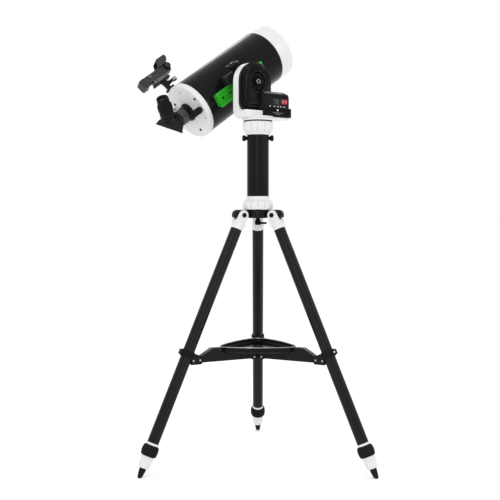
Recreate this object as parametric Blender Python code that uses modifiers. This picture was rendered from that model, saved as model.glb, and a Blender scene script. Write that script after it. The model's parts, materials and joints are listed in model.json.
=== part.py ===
"""A Maksutov telescope on a one-armed altazimuth mount, a pillar and a folding tripod.

Lengths below are in millimetres and MM turns them into Blender's metres.
The stand's frame has the pillar on its Z axis and the floor at Z = 0.
"""

import math

import bmesh
import bpy
from mathutils import Vector

MM = 0.001
GAP = 0.3

# Where the pillar's axis stands, so that the whole object's box is centred on the origin.
STAND_X = 11.7
STAND_Y = -77.7

# Tripod
LEG_ANGLES = (90.0, 210.0, 330.0)
LEG_SPLAY = 24.1
LEG_PIVOT_RADIUS = 45.5
LEG_PIVOT_Z = 606.7
LEG_RADIUS = 14.0
LEG_WALL = 1.5
INNER_RADIUS = 12.0
INNER_WALL = 1.4
INNER_TOP = 165.0
CLEVIS_LENGTH = 37.0
CLEVIS_RADIUS = 14.75
EAR_RADIUS = 12.3
TONGUE_WIDTH = 12.0
PIN_RADIUS = 3.5
FERRULE_END = 585.6
GRIP_LENGTH = 26.0
CASTING_END = 641.0
HUB_BOTTOM = 601.0
HUB_TOP = 620.6
HUB_RADIUS = 28.0
HUB_REACH = 74.0

# Spreader and tray
BRACKET_AT = 360.0
BRACKET_LENGTH = 17.0
ARM_PIVOT_RADIUS = 15.0
ARM_PIVOT_Z = 260.0
ARM_TIP_RADIUS = 164.7
ARM_TIP_Z = 263.0
ARM_WIDTH = 18.0
ARM_WALL = 1.6
RIVET_RADIUS = 2.2
TRAY_BOTTOM = 276.0
TRAY_TOP = 290.0
TRAY_CORNER_AT = 72.0
TRAY_CORNER_RADIUS = 30.0
TRAY_SIDE_RADIUS = 330.0
TRAY_SIDE_REACH = 72.5

# Pillar
FLANGE_TOP = 653.0
PILLAR_TOP = 802.3
PILLAR_RADIUS = 26.8
PILLAR_WALL = 1.8
UPPER_FLANGE_TOP = 834.8
SCREW_Z = 795.0
AZIMUTH_BASE_TOP = 842.8
AZIMUTH_POST_RADIUS = 9.0
AZIMUTH_POST_TOP = 846.6

# Mount head: x along the arm's width, y from the pillar towards the tube, z up
MOUNT_AZIMUTH = 38.5
ALTITUDE_Z = 933.0
ARM_HALF_WIDTH = 48.5
ARM_BOTTOM = 843.2
ARM_FRONT = 15.0
ARM_BACK = 38.0
COVER_FRONT = -1.0
COVER_BOTTOM = 862.0
BODY_FRONT = -13.0
BOX_LEFT = 5.0
BOX_RIGHT = 88.0
BOX_BOTTOM = 871.3
BOX_TOP = 911.0
PANEL_RIGHT = 93.0
PANEL_FRONT = -16.0
PANEL_BOTTOM = 848.5
AXLE_RADIUS = 8.0
WHEEL_RADIUS = 30.0

# Optical tube: x towards the sky, y away from the mount, z up across the tube
TUBE_OFFSET = 152.6
TUBE_ELEVATION = 33.8
TUBE_RADIUS = 72.0
TUBE_WALL = 1.5
TUBE_REAR = -108.0
TUBE_FRONT = 160.4
REAR_FACE = -122.0
FRONT_FACE = 203.0
CELL_RADIUS = 72.9
DOVETAIL_FACE = -87.0
DOVETAIL_REAR = -83.0
DOVETAIL_FRONT = 88.0
CLAMP_X = -3.0
CLAMP_Y = -93.5
FOCUS_Y = -57.2
FOCUS_Z = 2.9
DIAGONAL_ROLL = 20.2
EYEPIECE_X = -187.0
FINDER_ROLL = -30.0

BLACK_METAL = ((0.015, 0.015, 0.017), 0.35, 0.6)
BLACK_PLASTIC = ((0.02, 0.02, 0.022), 0.5, 0.0)
BLACK_RUBBER = ((0.018, 0.018, 0.018), 0.85, 0.0)
WHITE_PAINT = ((0.85, 0.85, 0.86), 0.35, 0.0)
GREEN_METAL = ((0.05, 0.5, 0.015), 0.35, 0.6)
STEEL = ((0.6, 0.6, 0.62), 0.3, 1.0)
BRASS = ((0.7, 0.5, 0.2), 0.35, 1.0)
MIRROR = ((0.9, 0.9, 0.92), 0.05, 1.0)
GLASS = ((0.75, 0.85, 0.8), 0.02, 0.0)
RED_PLASTIC = ((0.6, 0.02, 0.03), 0.4, 0.0)


def clear_scene():
    for item in list(bpy.data.objects):
        bpy.data.objects.remove(item, do_unlink=True)


def new_collection(name, hidden):
    collection = bpy.data.collections.new(name)
    bpy.context.scene.collection.children.link(collection)
    collection.hide_render = hidden
    return collection


def new_frame(name, parent, location, rotation=(0.0, 0.0, 0.0)):
    """An empty that carries a group of pieces; its rotation is in degrees."""
    empty = bpy.data.objects.new(name, None)
    bpy.context.scene.collection.objects.link(empty)
    place(empty, parent, location, rotation)
    return empty


def place(item, parent, location, rotation):
    item.parent = parent
    item.location = Vector(location) * MM
    item.rotation_euler = [math.radians(angle) for angle in rotation]


def new_material(name, finish):
    colour, roughness, metallic = finish
    material = bpy.data.materials.new(name)
    material.use_nodes = True
    shader = material.node_tree.nodes["Principled BSDF"]
    shader.inputs["Base Color"].default_value = (*colour, 1.0)
    shader.inputs["Roughness"].default_value = roughness
    shader.inputs["Metallic"].default_value = metallic
    material.diffuse_color = (*colour, 1.0)
    return material


def new_shape(points, edges, faces, parent, location, rotation):
    """A working shape in the cutters' collection; points are in millimetres."""
    mesh = bpy.data.meshes.new("shape")
    mesh.from_pydata([Vector(point) * MM for point in points], edges, faces)
    item = bpy.data.objects.new("shape", mesh)
    CUTTERS.objects.link(item)
    item.hide_render = True
    item.display_type = "WIRE"
    place(item, parent, location, rotation)
    return item


def evaluated_mesh(item):
    """The item's mesh with its modifiers applied."""
    bpy.context.view_layer.update()
    graph = bpy.context.evaluated_depsgraph_get()
    return bpy.data.meshes.new_from_object(item.evaluated_get(graph))


def bake(item):
    item.data = evaluated_mesh(item)
    item.modifiers.clear()


def turned(profile, parent, location=(0, 0, 0), rotation=(0, 0, 0), steps=20, ring=False):
    """Turn a profile of (radius, height) points, given down the outer side."""
    count = len(profile)
    edges = [(index, index + 1) for index in range(count - 1)]
    if ring:
        edges.append((count - 1, 0))
    points = [(radius, 0.0, height) for radius, height in profile]
    item = new_shape(points, edges, [], parent, location, rotation)
    screw = item.modifiers.new("turn", "SCREW")
    screw.steps = steps
    screw.render_steps = steps
    screw.use_merge_vertices = True
    screw.merge_threshold = 0.00001
    bake(item)
    return item


def cylinder(radius, bottom, top, parent, location=(0, 0, 0), rotation=(0, 0, 0), steps=16):
    profile = [(0, top), (radius, top), (radius, bottom), (0, bottom)]
    return turned(profile, parent, location, rotation, steps)


def pipe(outer, inner, bottom, top, parent, location=(0, 0, 0), rotation=(0, 0, 0), steps=20):
    profile = [(outer, top), (outer, bottom), (inner, bottom), (inner, top)]
    return turned(profile, parent, location, rotation, steps, ring=True)


def block(low, high, parent, location=(0, 0, 0), rotation=(0, 0, 0), round_edges=0.0):
    """A box between two corners, in the parent's axes, with optional rounded edges."""
    item = new_shape([], [], [], parent, location, rotation)
    shape = bmesh.new()
    bmesh.ops.create_cube(shape, size=1.0)
    low, high = Vector(low), Vector(high)
    for vertex in shape.verts:
        for axis in range(3):
            middle = (low[axis] + high[axis]) / 2
            vertex.co[axis] = (middle + vertex.co[axis] * (high[axis] - low[axis])) * MM
    shape.to_mesh(item.data)
    shape.free()
    if round_edges:
        bevel = item.modifiers.new("rounding", "BEVEL")
        bevel.width = round_edges * MM
        bevel.segments = 2
        bake(item)
    return item


def plate(outline, thickness, parent, location=(0, 0, 0), rotation=(0, 0, 0)):
    """A flat outline in the local XY plane, thickened evenly to both sides of it."""
    curve = bpy.data.curves.new("outline", "CURVE")
    curve.dimensions = "2D"
    curve.fill_mode = "BOTH"
    curve.extrude = thickness / 2 * MM
    spline = curve.splines.new("POLY")
    spline.points.add(len(outline) - 1)
    for point, (x, y) in zip(spline.points, outline):
        point.co = (x * MM, y * MM, 0.0, 1.0)
    spline.use_cyclic_u = True
    drawing = bpy.data.objects.new("outline", curve)
    CUTTERS.objects.link(drawing)
    mesh = evaluated_mesh(drawing)
    bpy.data.objects.remove(drawing)
    shape = bmesh.new()
    shape.from_mesh(mesh)
    bmesh.ops.remove_doubles(shape, verts=shape.verts, dist=0.00001)
    bmesh.ops.dissolve_limit(shape, angle_limit=0.01, verts=shape.verts, edges=shape.edges)
    bmesh.ops.recalc_face_normals(shape, faces=shape.faces)
    shape.to_mesh(mesh)
    shape.free()
    item = new_shape([], [], [], parent, location, rotation)
    item.data = mesh
    return item


def combine(item, other, operation):
    """Join or cut one working shape with another."""
    boolean = item.modifiers.new(operation.lower(), "BOOLEAN")
    boolean.operation = operation
    boolean.solver = "EXACT"
    boolean.object = other
    bake(item)
    bpy.data.objects.remove(other, do_unlink=True)
    return item


def join(item, *others):
    for other in others:
        combine(item, other, "UNION")
    return item


def cut(item, *others):
    for other in others:
        combine(item, other, "DIFFERENCE")
    return item


def part(name, item, finish):
    """Name a finished shape, give it its material and move it among the parts."""
    CUTTERS.objects.unlink(item)
    PARTS.objects.link(item)
    item.name = name
    item.hide_render = False
    item.display_type = "TEXTURED"
    item.data.name = name
    item.data.materials.clear()
    item.data.materials.append(new_material(name, finish))
    item.data.shade_smooth()
    item.data.set_sharp_from_angle(angle=math.radians(35))
    return item


def arc(x, y, radius, start, end, count):
    """Points along an arc, with angles in degrees."""
    points = []
    for index in range(count + 1):
        angle = math.radians(start + (end - start) * index / count)
        points.append((x + radius * math.cos(angle), y + radius * math.sin(angle)))
    return points


def polar(radius, angle):
    """The point at a radius and an angle, in degrees, about the origin."""
    radians = math.radians(angle)
    return radius * math.cos(radians), radius * math.sin(radians)


UPRIGHT = (90, 0, 0)
ALONG_X = (0, 90, 0)
ALONG_Y = (-90, 0, 0)

clear_scene()
PARTS = new_collection("maksutov_telescope", hidden=False)
CUTTERS = new_collection("cutters", hidden=True)


def build_tripod_hub():
    hub = cylinder(HUB_RADIUS, HUB_BOTTOM, HUB_TOP, STAND, steps=24)
    tongue = [(10, 601), (10, 620.2), (62, 620.2), (HUB_REACH, 612), (HUB_REACH, 603), (72, 601)]
    for angle in LEG_ANGLES:
        join(hub, plate(tongue, TONGUE_WIDTH, STAND, rotation=(90, 0, angle)))
    for angle in LEG_ANGLES:
        frame = new_frame("hub_hole", STAND, (0, 0, 0), (0, 0, angle))
        pivot = (LEG_PIVOT_RADIUS, 0, LEG_PIVOT_Z)
        cut(hub, cylinder(PIN_RADIUS + GAP, -12, 12, frame, pivot, ALONG_Y, 10))
    cut(hub, cylinder(5.3, 590, 630, STAND))
    part("tripod_hub", hub, BLACK_METAL)


def build_hub_bolt():
    profile = [(0, 642), (5, 642), (5, 600.7), (10, 600.7), (10, 586), (7, 583), (0, 583)]
    bolt = turned(profile, STAND, steps=16)
    lever = block((6, -2, 585), (22, 2, 590), STAND, rotation=(0, 0, -12))
    part("hub_bolt", join(bolt, lever), BLACK_PLASTIC)


def build_pillar():
    profile = [(0, 673), (24.6, 673), (24.6, FLANGE_TOP), (28, FLANGE_TOP), (28.5, 645)]
    profile += [(34, 641), (38, 637), (38, 624), (36, 620.9), (0, 620.9)]
    flange = turned(profile, STAND, steps=28)
    cut(flange, cylinder(5.3, 610, 646, STAND))
    part("lower_flange", flange, WHITE_PAINT)

    inner = PILLAR_RADIUS - PILLAR_WALL
    tube = pipe(PILLAR_RADIUS, inner, FLANGE_TOP + GAP, PILLAR_TOP, STAND, steps=28)
    cut(tube, cylinder(3.4, -45, 45, STAND, (0, 0, SCREW_Z), ALONG_X, 10))
    part("pillar_tube", tube, BLACK_METAL)

    profile = [(0, UPPER_FLANGE_TOP), (36, UPPER_FLANGE_TOP), (38.5, 831), (38.5, 815)]
    profile += [(34, 810), (28.5, 807), (28.5, 802.6), (24.6, 802.6), (24.6, 780), (0, 780)]
    part("upper_flange", turned(profile, STAND, steps=28), WHITE_PAINT)

    for name, angle in (("pillar_screw_right", 0), ("pillar_screw_left", 180)):
        frame = new_frame(name + "_frame", STAND, (0, 0, SCREW_Z), (0, 0, angle))
        profile = [(0, 38), (6.5, 38), (7.5, 37), (7.5, 31), (6.5, 30), (3.1, 30), (3.1, 24.92)]
        profile.append((0, 24.92))
        part(name, turned(profile, frame, rotation=ALONG_X, steps=10), BLACK_PLASTIC)

    profile = [(0, AZIMUTH_POST_TOP), (AZIMUTH_POST_RADIUS, AZIMUTH_POST_TOP)]
    profile += [(AZIMUTH_POST_RADIUS, AZIMUTH_BASE_TOP), (37, AZIMUTH_BASE_TOP), (38, 841.8)]
    profile += [(38, 838), (35, 837.4), (35, 835.1), (0, 835.1)]
    part("azimuth_base", turned(profile, STAND, steps=28), WHITE_PAINT)


def build_leg(number, angle):
    """One leg, hanging from its pivot; its own Z axis runs up the leg."""
    pivot = (*polar(LEG_PIVOT_RADIUS, angle), LEG_PIVOT_Z)
    leg = new_frame(f"leg_{number}_frame", STAND, pivot, (0, -LEG_SPLAY, angle))
    radial = new_frame(f"radial_{number}_frame", STAND, (0, 0, 0), (0, 0, angle))

    clevis = cylinder(CLEVIS_RADIUS, -CLEVIS_LENGTH, -12, leg, steps=20)
    ears = arc(0, 0, EAR_RADIUS, 0, 180, 8) + [(-14.2, -22), (14.2, -22)]
    join(clevis, plate(ears, 26, leg, rotation=UPRIGHT))
    join(clevis, cylinder(12.2, -56, -36, leg))
    slot = TONGUE_WIDTH / 2 + GAP
    cut(clevis, block((-20, -slot, -16), (20, slot, 20), leg))
    cut(clevis, cylinder(PIN_RADIUS + GAP, -20, 20, leg, rotation=ALONG_Y, steps=10))
    part(f"leg_clevis_{number}", clevis, WHITE_PAINT)

    head = 13 + GAP
    pin = [(0, 15.5), (5, 15.5), (5.5, 15), (5.5, head), (PIN_RADIUS, head)]
    pin += [(radius, -height) for radius, height in reversed(pin)]
    part(f"leg_pin_{number}", turned(pin, leg, rotation=ALONG_Y, steps=10), BLACK_METAL)

    top = -CLEVIS_LENGTH - GAP
    inner = LEG_RADIUS - LEG_WALL
    tube = [(LEG_RADIUS, top), (LEG_RADIUS, 5 - FERRULE_END), (15, 5 - FERRULE_END)]
    tube += [(15, -FERRULE_END), (inner, -FERRULE_END), (inner, top)]
    part(f"leg_tube_{number}", turned(tube, leg, steps=20, ring=True), BLACK_METAL)

    grip_top = -FERRULE_END - GAP
    grip_end = grip_top - GRIP_LENGTH
    grip = [(17, grip_top), (19, grip_top - 4), (20, grip_top - 13), (19, grip_top - 22)]
    grip += [(17, grip_end), (12.3, grip_end), (12.3, grip_top)]
    part(f"leg_lock_{number}", turned(grip, leg, steps=20, ring=True), BLACK_RUBBER)

    collar = grip_end - GAP
    bore = INNER_RADIUS - INNER_WALL
    inner_leg = [(0, -625), (bore, -625), (bore, -INNER_TOP), (INNER_RADIUS, -INNER_TOP)]
    inner_leg += [(INNER_RADIUS, collar), (15, collar), (15, collar - 9.4), (14, collar - 9.4)]
    inner_leg += [(14, 5 - CASTING_END), (12, -CASTING_END), (0, -CASTING_END)]
    part(f"inner_leg_{number}", turned(inner_leg, leg, steps=18), WHITE_PAINT)

    tip = -CASTING_END - GAP
    rubber = [(0, tip), (8.2, tip), (8.2, tip - 4), (7.6, tip - 9), (6.4, tip - 17)]
    rubber += [(5, tip - 24), (0, tip - 26)]
    foot = turned(rubber, leg, steps=16)
    cut(foot, block((-400, -400, -40), (400, 400, 0), STAND))
    part(f"rubber_foot_{number}", foot, BLACK_RUBBER)

    build_bracket(number, leg, radial)


def build_bracket(number, leg, radial):
    """The band around a leg, with a fork that holds the end of a spreader arm."""
    low = -BRACKET_AT - BRACKET_LENGTH / 2
    band = cylinder(17.2, low, low + BRACKET_LENGTH, leg, steps=20)
    join(band, block((14, -4, low + 2), (23, 4, low + 15), leg))
    fork = arc(164, 258.5, 5.5, 180, 270, 3) + [(190, 253), (192, 274.4)]
    fork += arc(164, 268.9, 5.5, 90, 180, 3)
    join(band, plate(fork, 24.8, radial, rotation=UPRIGHT))
    for radius in (ARM_TIP_RADIUS, 185.7):
        rivet = cylinder(2.8, -13.6, 13.6, radial, (radius, 0, ARM_TIP_Z), ALONG_Y, 8)
        join(band, rivet)
    half_slot = ARM_WIDTH / 2 + GAP
    cut(band, block((130, -half_slot, 240), (179.7, half_slot, 300), radial))
    cut(band, cylinder(LEG_RADIUS + GAP, -450, -250, leg, steps=20))
    part(f"spreader_bracket_{number}", band, BLACK_PLASTIC)


def build_spreader():
    hub = cylinder(4.6, 253, TRAY_BOTTOM - GAP, STAND)
    tongue = [(0, 253), (0, 269), (18, 269), (22, 265), (22, 256), (19, 253)]
    for angle in LEG_ANGLES:
        join(hub, plate(tongue, 14, STAND, rotation=(90, 0, angle)))
    for angle in LEG_ANGLES:
        frame = new_frame("rivet_frame", STAND, (0, 0, 0), (0, 0, angle))
        pivot = (ARM_PIVOT_RADIUS, 0, ARM_PIVOT_Z)
        join(hub, cylinder(RIVET_RADIUS, -10, 10, frame, pivot, ALONG_Y, 8))
        for low, high in ((-10.8, -9.4), (9.4, 10.8)):
            join(hub, cylinder(3.3, low, high, frame, pivot, ALONG_Y, 8))
    part("spreader_hub", hub, BLACK_METAL)

    for number, angle in enumerate(LEG_ANGLES, 1):
        pivot = (*polar(ARM_PIVOT_RADIUS, angle), ARM_PIVOT_Z)
        frame = new_frame(f"arm_{number}_frame", STAND, pivot, (0, 0, angle))
        build_arm(number, frame)

    height = TRAY_TOP - TRAY_BOTTOM
    middle = (0, 0, TRAY_BOTTOM + height / 2)
    tray = plate(tray_outline(0), height, STAND, middle)
    hollow = (0, 0, TRAY_BOTTOM + 2.5 + height / 2)
    cut(tray, plate(tray_outline(2.2), height, STAND, hollow))
    part("accessory_tray", tray, BLACK_PLASTIC)


def tray_outline(inset):
    """A triangle with round corners, whose sides bulge a little."""
    points = []
    for angle in LEG_ANGLES:
        x, y = polar(TRAY_CORNER_AT, angle)
        points += arc(x, y, TRAY_CORNER_RADIUS - inset, angle - 48, angle + 48, 8)
        x, y = polar(TRAY_SIDE_REACH - TRAY_SIDE_RADIUS, angle + 60)
        points += arc(x, y, TRAY_SIDE_RADIUS - inset, angle + 50, angle + 70, 4)
    return points


def build_arm(number, frame):
    """An inverted channel between the spreader's hub and a leg's fork."""
    reach = ARM_TIP_RADIUS - ARM_PIVOT_RADIUS
    rise = ARM_TIP_Z - ARM_PIVOT_Z
    outline = [(-8, 0), (-6, -3.5), (0, -4.5), (reach - 8, -3.6)]
    outline += arc(reach, rise, 6.4, -90, 90, 6)
    outline += [(reach - 9, 13.5), (114, 28.6), (89.5, 28.6), (88, 15.3), (-8, 13.2)]
    arm = plate(outline, ARM_WIDTH, frame, rotation=UPRIGHT)
    hollow = [(-20, -20), (170, -20), (170, 7), (reach, 7.7), (reach - 9.6, 11.8)]
    hollow += [(113.2, 26.8), (91.2, 26.8), (89.8, 13.6), (-20, 11.4)]
    cut(arm, plate(hollow, ARM_WIDTH - 2 * ARM_WALL, frame, rotation=UPRIGHT))
    for x, z in ((0, 0), (reach, rise)):
        cut(arm, cylinder(RIVET_RADIUS + 0.4, -20, 20, frame, (x, 0, z), ALONG_Y, 8))
    part(f"spreader_arm_{number}", arm, BLACK_METAL)


def arm_outline(inset, bottom):
    """The mount arm's outline: round above, with rounded lower corners."""
    corner = 20.0 - inset
    edge = ARM_HALF_WIDTH - inset
    low = bottom + 20.0
    points = arc(edge - corner, low, corner, 270, 360, 3)
    points += arc(0, ALTITUDE_Z, edge, 0, 180, 16)
    return points + arc(corner - edge, low, corner, 180, 270, 3)


def build_arm_housing():
    middle = (ARM_FRONT + ARM_BACK) / 2
    thickness = ARM_BACK - ARM_FRONT
    housing = plate(arm_outline(0, ARM_BOTTOM), thickness, MOUNT, (0, middle, 0), UPRIGHT)
    join(housing, block((-46, BODY_FRONT, ARM_BOTTOM), (4.6, 16, 861.6), MOUNT, round_edges=4))
    join(housing, cylinder(38, ARM_BOTTOM, 847, MOUNT, steps=24))
    join(housing, block((0, -14, ARM_BOTTOM), (87, 37, PANEL_BOTTOM - GAP), MOUNT))
    cut(housing, cylinder(34, 12, 33, MOUNT, (0, 0, ALTITUDE_Z), ALONG_Y, 20))
    cut(housing, cylinder(AXLE_RADIUS + GAP, 20, 50, MOUNT, (0, 0, ALTITUDE_Z), ALONG_Y, 14))
    cut(housing, cylinder(AZIMUTH_POST_RADIUS + GAP, 830, AZIMUTH_POST_TOP + 0.8, MOUNT))
    part("arm_housing", housing, WHITE_PAINT)


def build_side_cover():
    layers = ((0.0, 8.0, ARM_FRONT - GAP), (4.0, 3.0, 8.5), (8.0, COVER_FRONT, 3.5))
    cover = None
    for inset, front, back in layers:
        outline = arm_outline(inset, COVER_BOTTOM + inset)
        layer = plate(outline, back - front, MOUNT, (0, (front + back) / 2, 0), UPRIGHT)
        cover = join(cover, layer) if cover else layer
    notch = [(BOX_LEFT - GAP, 850), (60, 850), (60, BOX_TOP + GAP)]
    notch += [(10.9, BOX_TOP + GAP), (BOX_LEFT - GAP, 906.7)]
    cut(cover, plate(notch, 40, MOUNT, (0, 0, 0), UPRIGHT))
    cut(cover, cylinder(33, 6, 20, MOUNT, (0, 0, ALTITUDE_Z), ALONG_Y, 20))
    cut(cover, cylinder(24.3, -20, 20, MOUNT, (0, 0, ALTITUDE_Z), ALONG_Y, 28))
    part("side_cover", cover, BLACK_PLASTIC)


def build_battery_box():
    back = ARM_FRONT - GAP
    outline = [(BOX_LEFT, BOX_BOTTOM), (BOX_RIGHT, BOX_BOTTOM)]
    outline += arc(BOX_RIGHT - 10, BOX_TOP - 11, 10, 0, 80, 5)
    outline += [(11, BOX_TOP), (BOX_LEFT, 906.5)]
    middle = (BODY_FRONT + back) / 2
    box = plate(outline, back - BODY_FRONT, MOUNT, (0, middle, 0), UPRIGHT)
    chamfer = [(-14, 902.5), (0.5, 913), (-14, 913)]
    cut(box, plate(chamfer, 120, MOUNT, (40, 0, 0), (90, 0, 90)))
    cut(box, block((63.5, -20, 880), (82.5, -7, 893), MOUNT))
    cut(box, block((25, -20, 879), (31, -10.5, 894), MOUNT))
    cut(box, block((46, -20, 881), (56, -10.5, 893), MOUNT))
    part("battery_box", box, BLACK_PLASTIC)

    low = (BOX_LEFT, PANEL_FRONT, PANEL_BOTTOM)
    high = (PANEL_RIGHT, back, BOX_BOTTOM - GAP)
    part("control_panel", block(low, high, MOUNT, round_edges=1.5), BLACK_PLASTIC)

    switch_frame = new_frame("power_switch_frame", MOUNT, (73, -11, 887))
    switch = block((-9, -4, -5.8), (9, 1.5, 5.8), switch_frame, round_edges=1)
    part("power_switch", switch, RED_PLASTIC)


def build_altitude_drive():
    axis = (0, 0, ALTITUDE_Z)
    axle = [(0, 38.1), (AXLE_RADIUS, 38.1), (AXLE_RADIUS, 11.5), (4.3, 11.5), (4.3, 26), (0, 26)]
    part("altitude_axle", turned(axle, MOUNT, axis, ALONG_Y, 16), STEEL)
    wheel = pipe(WHEEL_RADIUS, AXLE_RADIUS + GAP, 18, 26, MOUNT, axis, ALONG_Y, 24)
    part("altitude_wheel", wheel, BRASS)
    knob = [(0, 25), (4, 25), (4, 10.9), (22.5, 10.9), (23.5, 9.5), (23.5, 3), (21.5, 1)]
    knob += [(14, 1), (12, 4), (9, 4), (9, -1.5), (0, -2.5)]
    knob = turned(knob, MOUNT, axis, ALONG_Y, 20)
    for turn in range(8):
        spot = new_frame("knob_lobe", MOUNT, axis, (0, turn * 45 + 22.5, 0))
        cut(knob, cylinder(5, -20, 14, spot, (26.5, 0, 0), ALONG_Y, 8))
    part("clutch_knob", knob, BLACK_PLASTIC)


def build_saddle():
    base = cylinder(31, -114.2, -104, TUBE, (0, 0, 0), ALONG_Y, 20)
    join(base, block((-22, -107, -33), (46, DOVETAIL_FACE - GAP, 33), TUBE, round_edges=3))
    fixed_jaw = [(-90, -33), (-78.6, -33), (-78.6, -16.4), (-87.0, -19.7), (-90, -19.7)]
    join(base, plate(fixed_jaw, 64, TUBE, (12, 0, 0), (90, 0, 90)))
    cut(base, block((-44, -99, 19), (8, -80, 40), TUBE))
    cut(base, cylinder(4.4, 0, 60, TUBE, (CLAMP_X, CLAMP_Y, 0)))
    part("saddle", base, BLACK_METAL)

    profile = [(-98.5, 20), (-87.0, 20), (-78.6, 16.7), (-78.6, 38), (-82, 42), (-98.5, 42)]
    jaw = plate(profile, 50, TUBE, (-18, 0, 0), (90, 0, 90))
    cut(jaw, cylinder(4.4, 0, 60, TUBE, (CLAMP_X, CLAMP_Y, 0)))
    part("clamp_jaw", jaw, BLACK_METAL)

    knob = [(0, 61), (10, 61), (12, 60), (17, 59), (17, 51), (14, 49), (8, 47), (8, 42.4)]
    knob += [(4, 42.4), (4, 3), (0, 3)]
    knob = turned(knob, TUBE, (CLAMP_X, CLAMP_Y, 0), steps=18)
    for turn in range(5):
        spot = new_frame("knob_lobe", TUBE, (CLAMP_X, CLAMP_Y, 0), (0, 0, turn * 72))
        cut(knob, cylinder(6, 48, 66, spot, (20, 0, 0), steps=8))
    part("clamp_knob", knob, BLACK_PLASTIC)

    outline = [(DOVETAIL_FACE, -19), (-78, -15.5), (-72.4, -15.5), (-72.4, 15.5), (-78, 15.5)]
    outline.append((DOVETAIL_FACE, 19))
    length = DOVETAIL_FRONT - DOVETAIL_REAR
    centre = (DOVETAIL_FRONT + DOVETAIL_REAR) / 2
    bar = plate(outline, length, TUBE, (centre, 0, 0), (90, 0, 90))
    for x in (-67.7, -39.4):
        cut(bar, cylinder(3, -90, -80, TUBE, (x, 0, 0), ALONG_Y, 10))
    part("dovetail_bar", bar, GREEN_METAL)


def build_optical_tube():
    tube = pipe(TUBE_RADIUS, TUBE_RADIUS - TUBE_WALL, TUBE_REAR, TUBE_FRONT, TUBE,
                rotation=ALONG_X, steps=36)
    part("optical_tube", tube, BLACK_METAL)

    spigot = TUBE_RADIUS - TUBE_WALL - GAP
    rear = [(spigot, -98), (spigot, TUBE_REAR - GAP), (CELL_RADIUS, TUBE_REAR - GAP)]
    rear += [(CELL_RADIUS, REAR_FACE + 3), (71, REAR_FACE), (21, REAR_FACE), (21, -112)]
    rear += [(66, -112), (66, -98)]
    rear = turned(rear, TUBE, rotation=ALONG_X, steps=36, ring=True)
    cut(rear, cylinder(4, -130, -100, TUBE, (0, FOCUS_Y, FOCUS_Z), ALONG_X, 10))
    part("rear_cell", rear, WHITE_PAINT)

    front = [(70.5, FRONT_FACE), (CELL_RADIUS, FRONT_FACE - 2.5), (CELL_RADIUS, TUBE_FRONT + GAP)]
    front += [(spigot, TUBE_FRONT + GAP), (spigot, 150), (66.6, 150), (66.6, 176), (62.5, 176)]
    front += [(62.5, 179), (66.6, 179), (66.6, FRONT_FACE)]
    front = turned(front, TUBE, rotation=ALONG_X, steps=36, ring=True)
    part("front_cell", front, WHITE_PAINT)

    lens = [(0, 182), (25, 182.9), (45, 185), (66.3, 190), (66.3, 179.3), (62, 179.3)]
    lens += [(45, 175.4), (25, 172.8), (0, 171.8)]
    part("corrector_lens", turned(lens, TUBE, rotation=ALONG_X, steps=28), GLASS)

    mirror = [(64, -66), (64, -80), (24, -80), (24, -100), (17.3, -100), (17.3, -72), (40, -70.4)]
    mirror = turned(mirror, TUBE, rotation=ALONG_X, steps=28, ring=True)
    part("primary_mirror", mirror, MIRROR)

    baffle = [(16.9, 60), (16.9, -111.7), (20.7, -111.7), (20.7, -121.7), (15, -121.7), (15, 60)]
    baffle = turned(baffle, TUBE, rotation=ALONG_X, steps=20, ring=True)
    part("baffle_tube", baffle, BLACK_METAL)

    knob = [(0, -104), (3.5, -104), (3.5, -122.3), (7, -122.3), (7, -126), (8.5, -127)]
    knob += [(8.5, -149), (7.5, -150), (0, -150)]
    knob = turned(knob, TUBE, (0, FOCUS_Y, FOCUS_Z), ALONG_X, 16)
    part("focus_knob", knob, BLACK_PLASTIC)

    back = [(24, -122.3), (24, -126), (19.5, -129), (19.5, -136), (16.2, -136), (16.2, -122.3)]
    back = turned(back, TUBE, rotation=ALONG_X, steps=20, ring=True)
    screw = new_frame("back_screw_frame", TUBE, (-132.5, 0, 0), (200, 0, 0))
    join(back, cylinder(2.6, 18, 26, screw, steps=8))
    part("visual_back", back, BLACK_METAL)


def build_diagonal():
    """The right-angle mirror, with its eyepiece along its own Z axis."""
    frame = new_frame("diagonal_frame", TUBE, (0, 0, 0), (DIAGONAL_ROLL, 0, 0))
    body = [(-206, 20), (-206, 12.5), (-174.5, -19), (-164, -19), (-164, 20)]
    body = plate(body, 37, frame, rotation=UPRIGHT)
    join(body, cylinder(15.9, -165, -124, frame, rotation=ALONG_X, steps=18))
    join(body, cylinder(20.5, -165, -136.4, frame, rotation=ALONG_X, steps=18))
    join(body, cylinder(19, 15, 31, frame, (EYEPIECE_X, 0, 0), steps=18))
    cut(body, cylinder(13, -180, -110, frame, rotation=ALONG_X, steps=16))
    cut(body, cylinder(16.2, 0, 40, frame, (EYEPIECE_X, 0, 0), steps=18))
    part("diagonal_body", body, BLACK_METAL)

    cover = block((-29, -21, -2.2), (29, 21, 2.2), frame, (-192.05, 0, -5.05), (0, 45, 0), 0.8)
    part("diagonal_cover", cover, BLACK_PLASTIC)

    eyepiece = [(0, 77), (9, 77), (12, 79.5), (14.8, 79), (15.5, 60), (20, 57), (20.5, 46)]
    eyepiece += [(18, 36), (18, 31.4), (15.9, 31.4), (15.9, 21), (0, 21)]
    eyepiece = turned(eyepiece, frame, (EYEPIECE_X, 0, 0), steps=20)
    part("eyepiece", eyepiece, BLACK_RUBBER)


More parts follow.
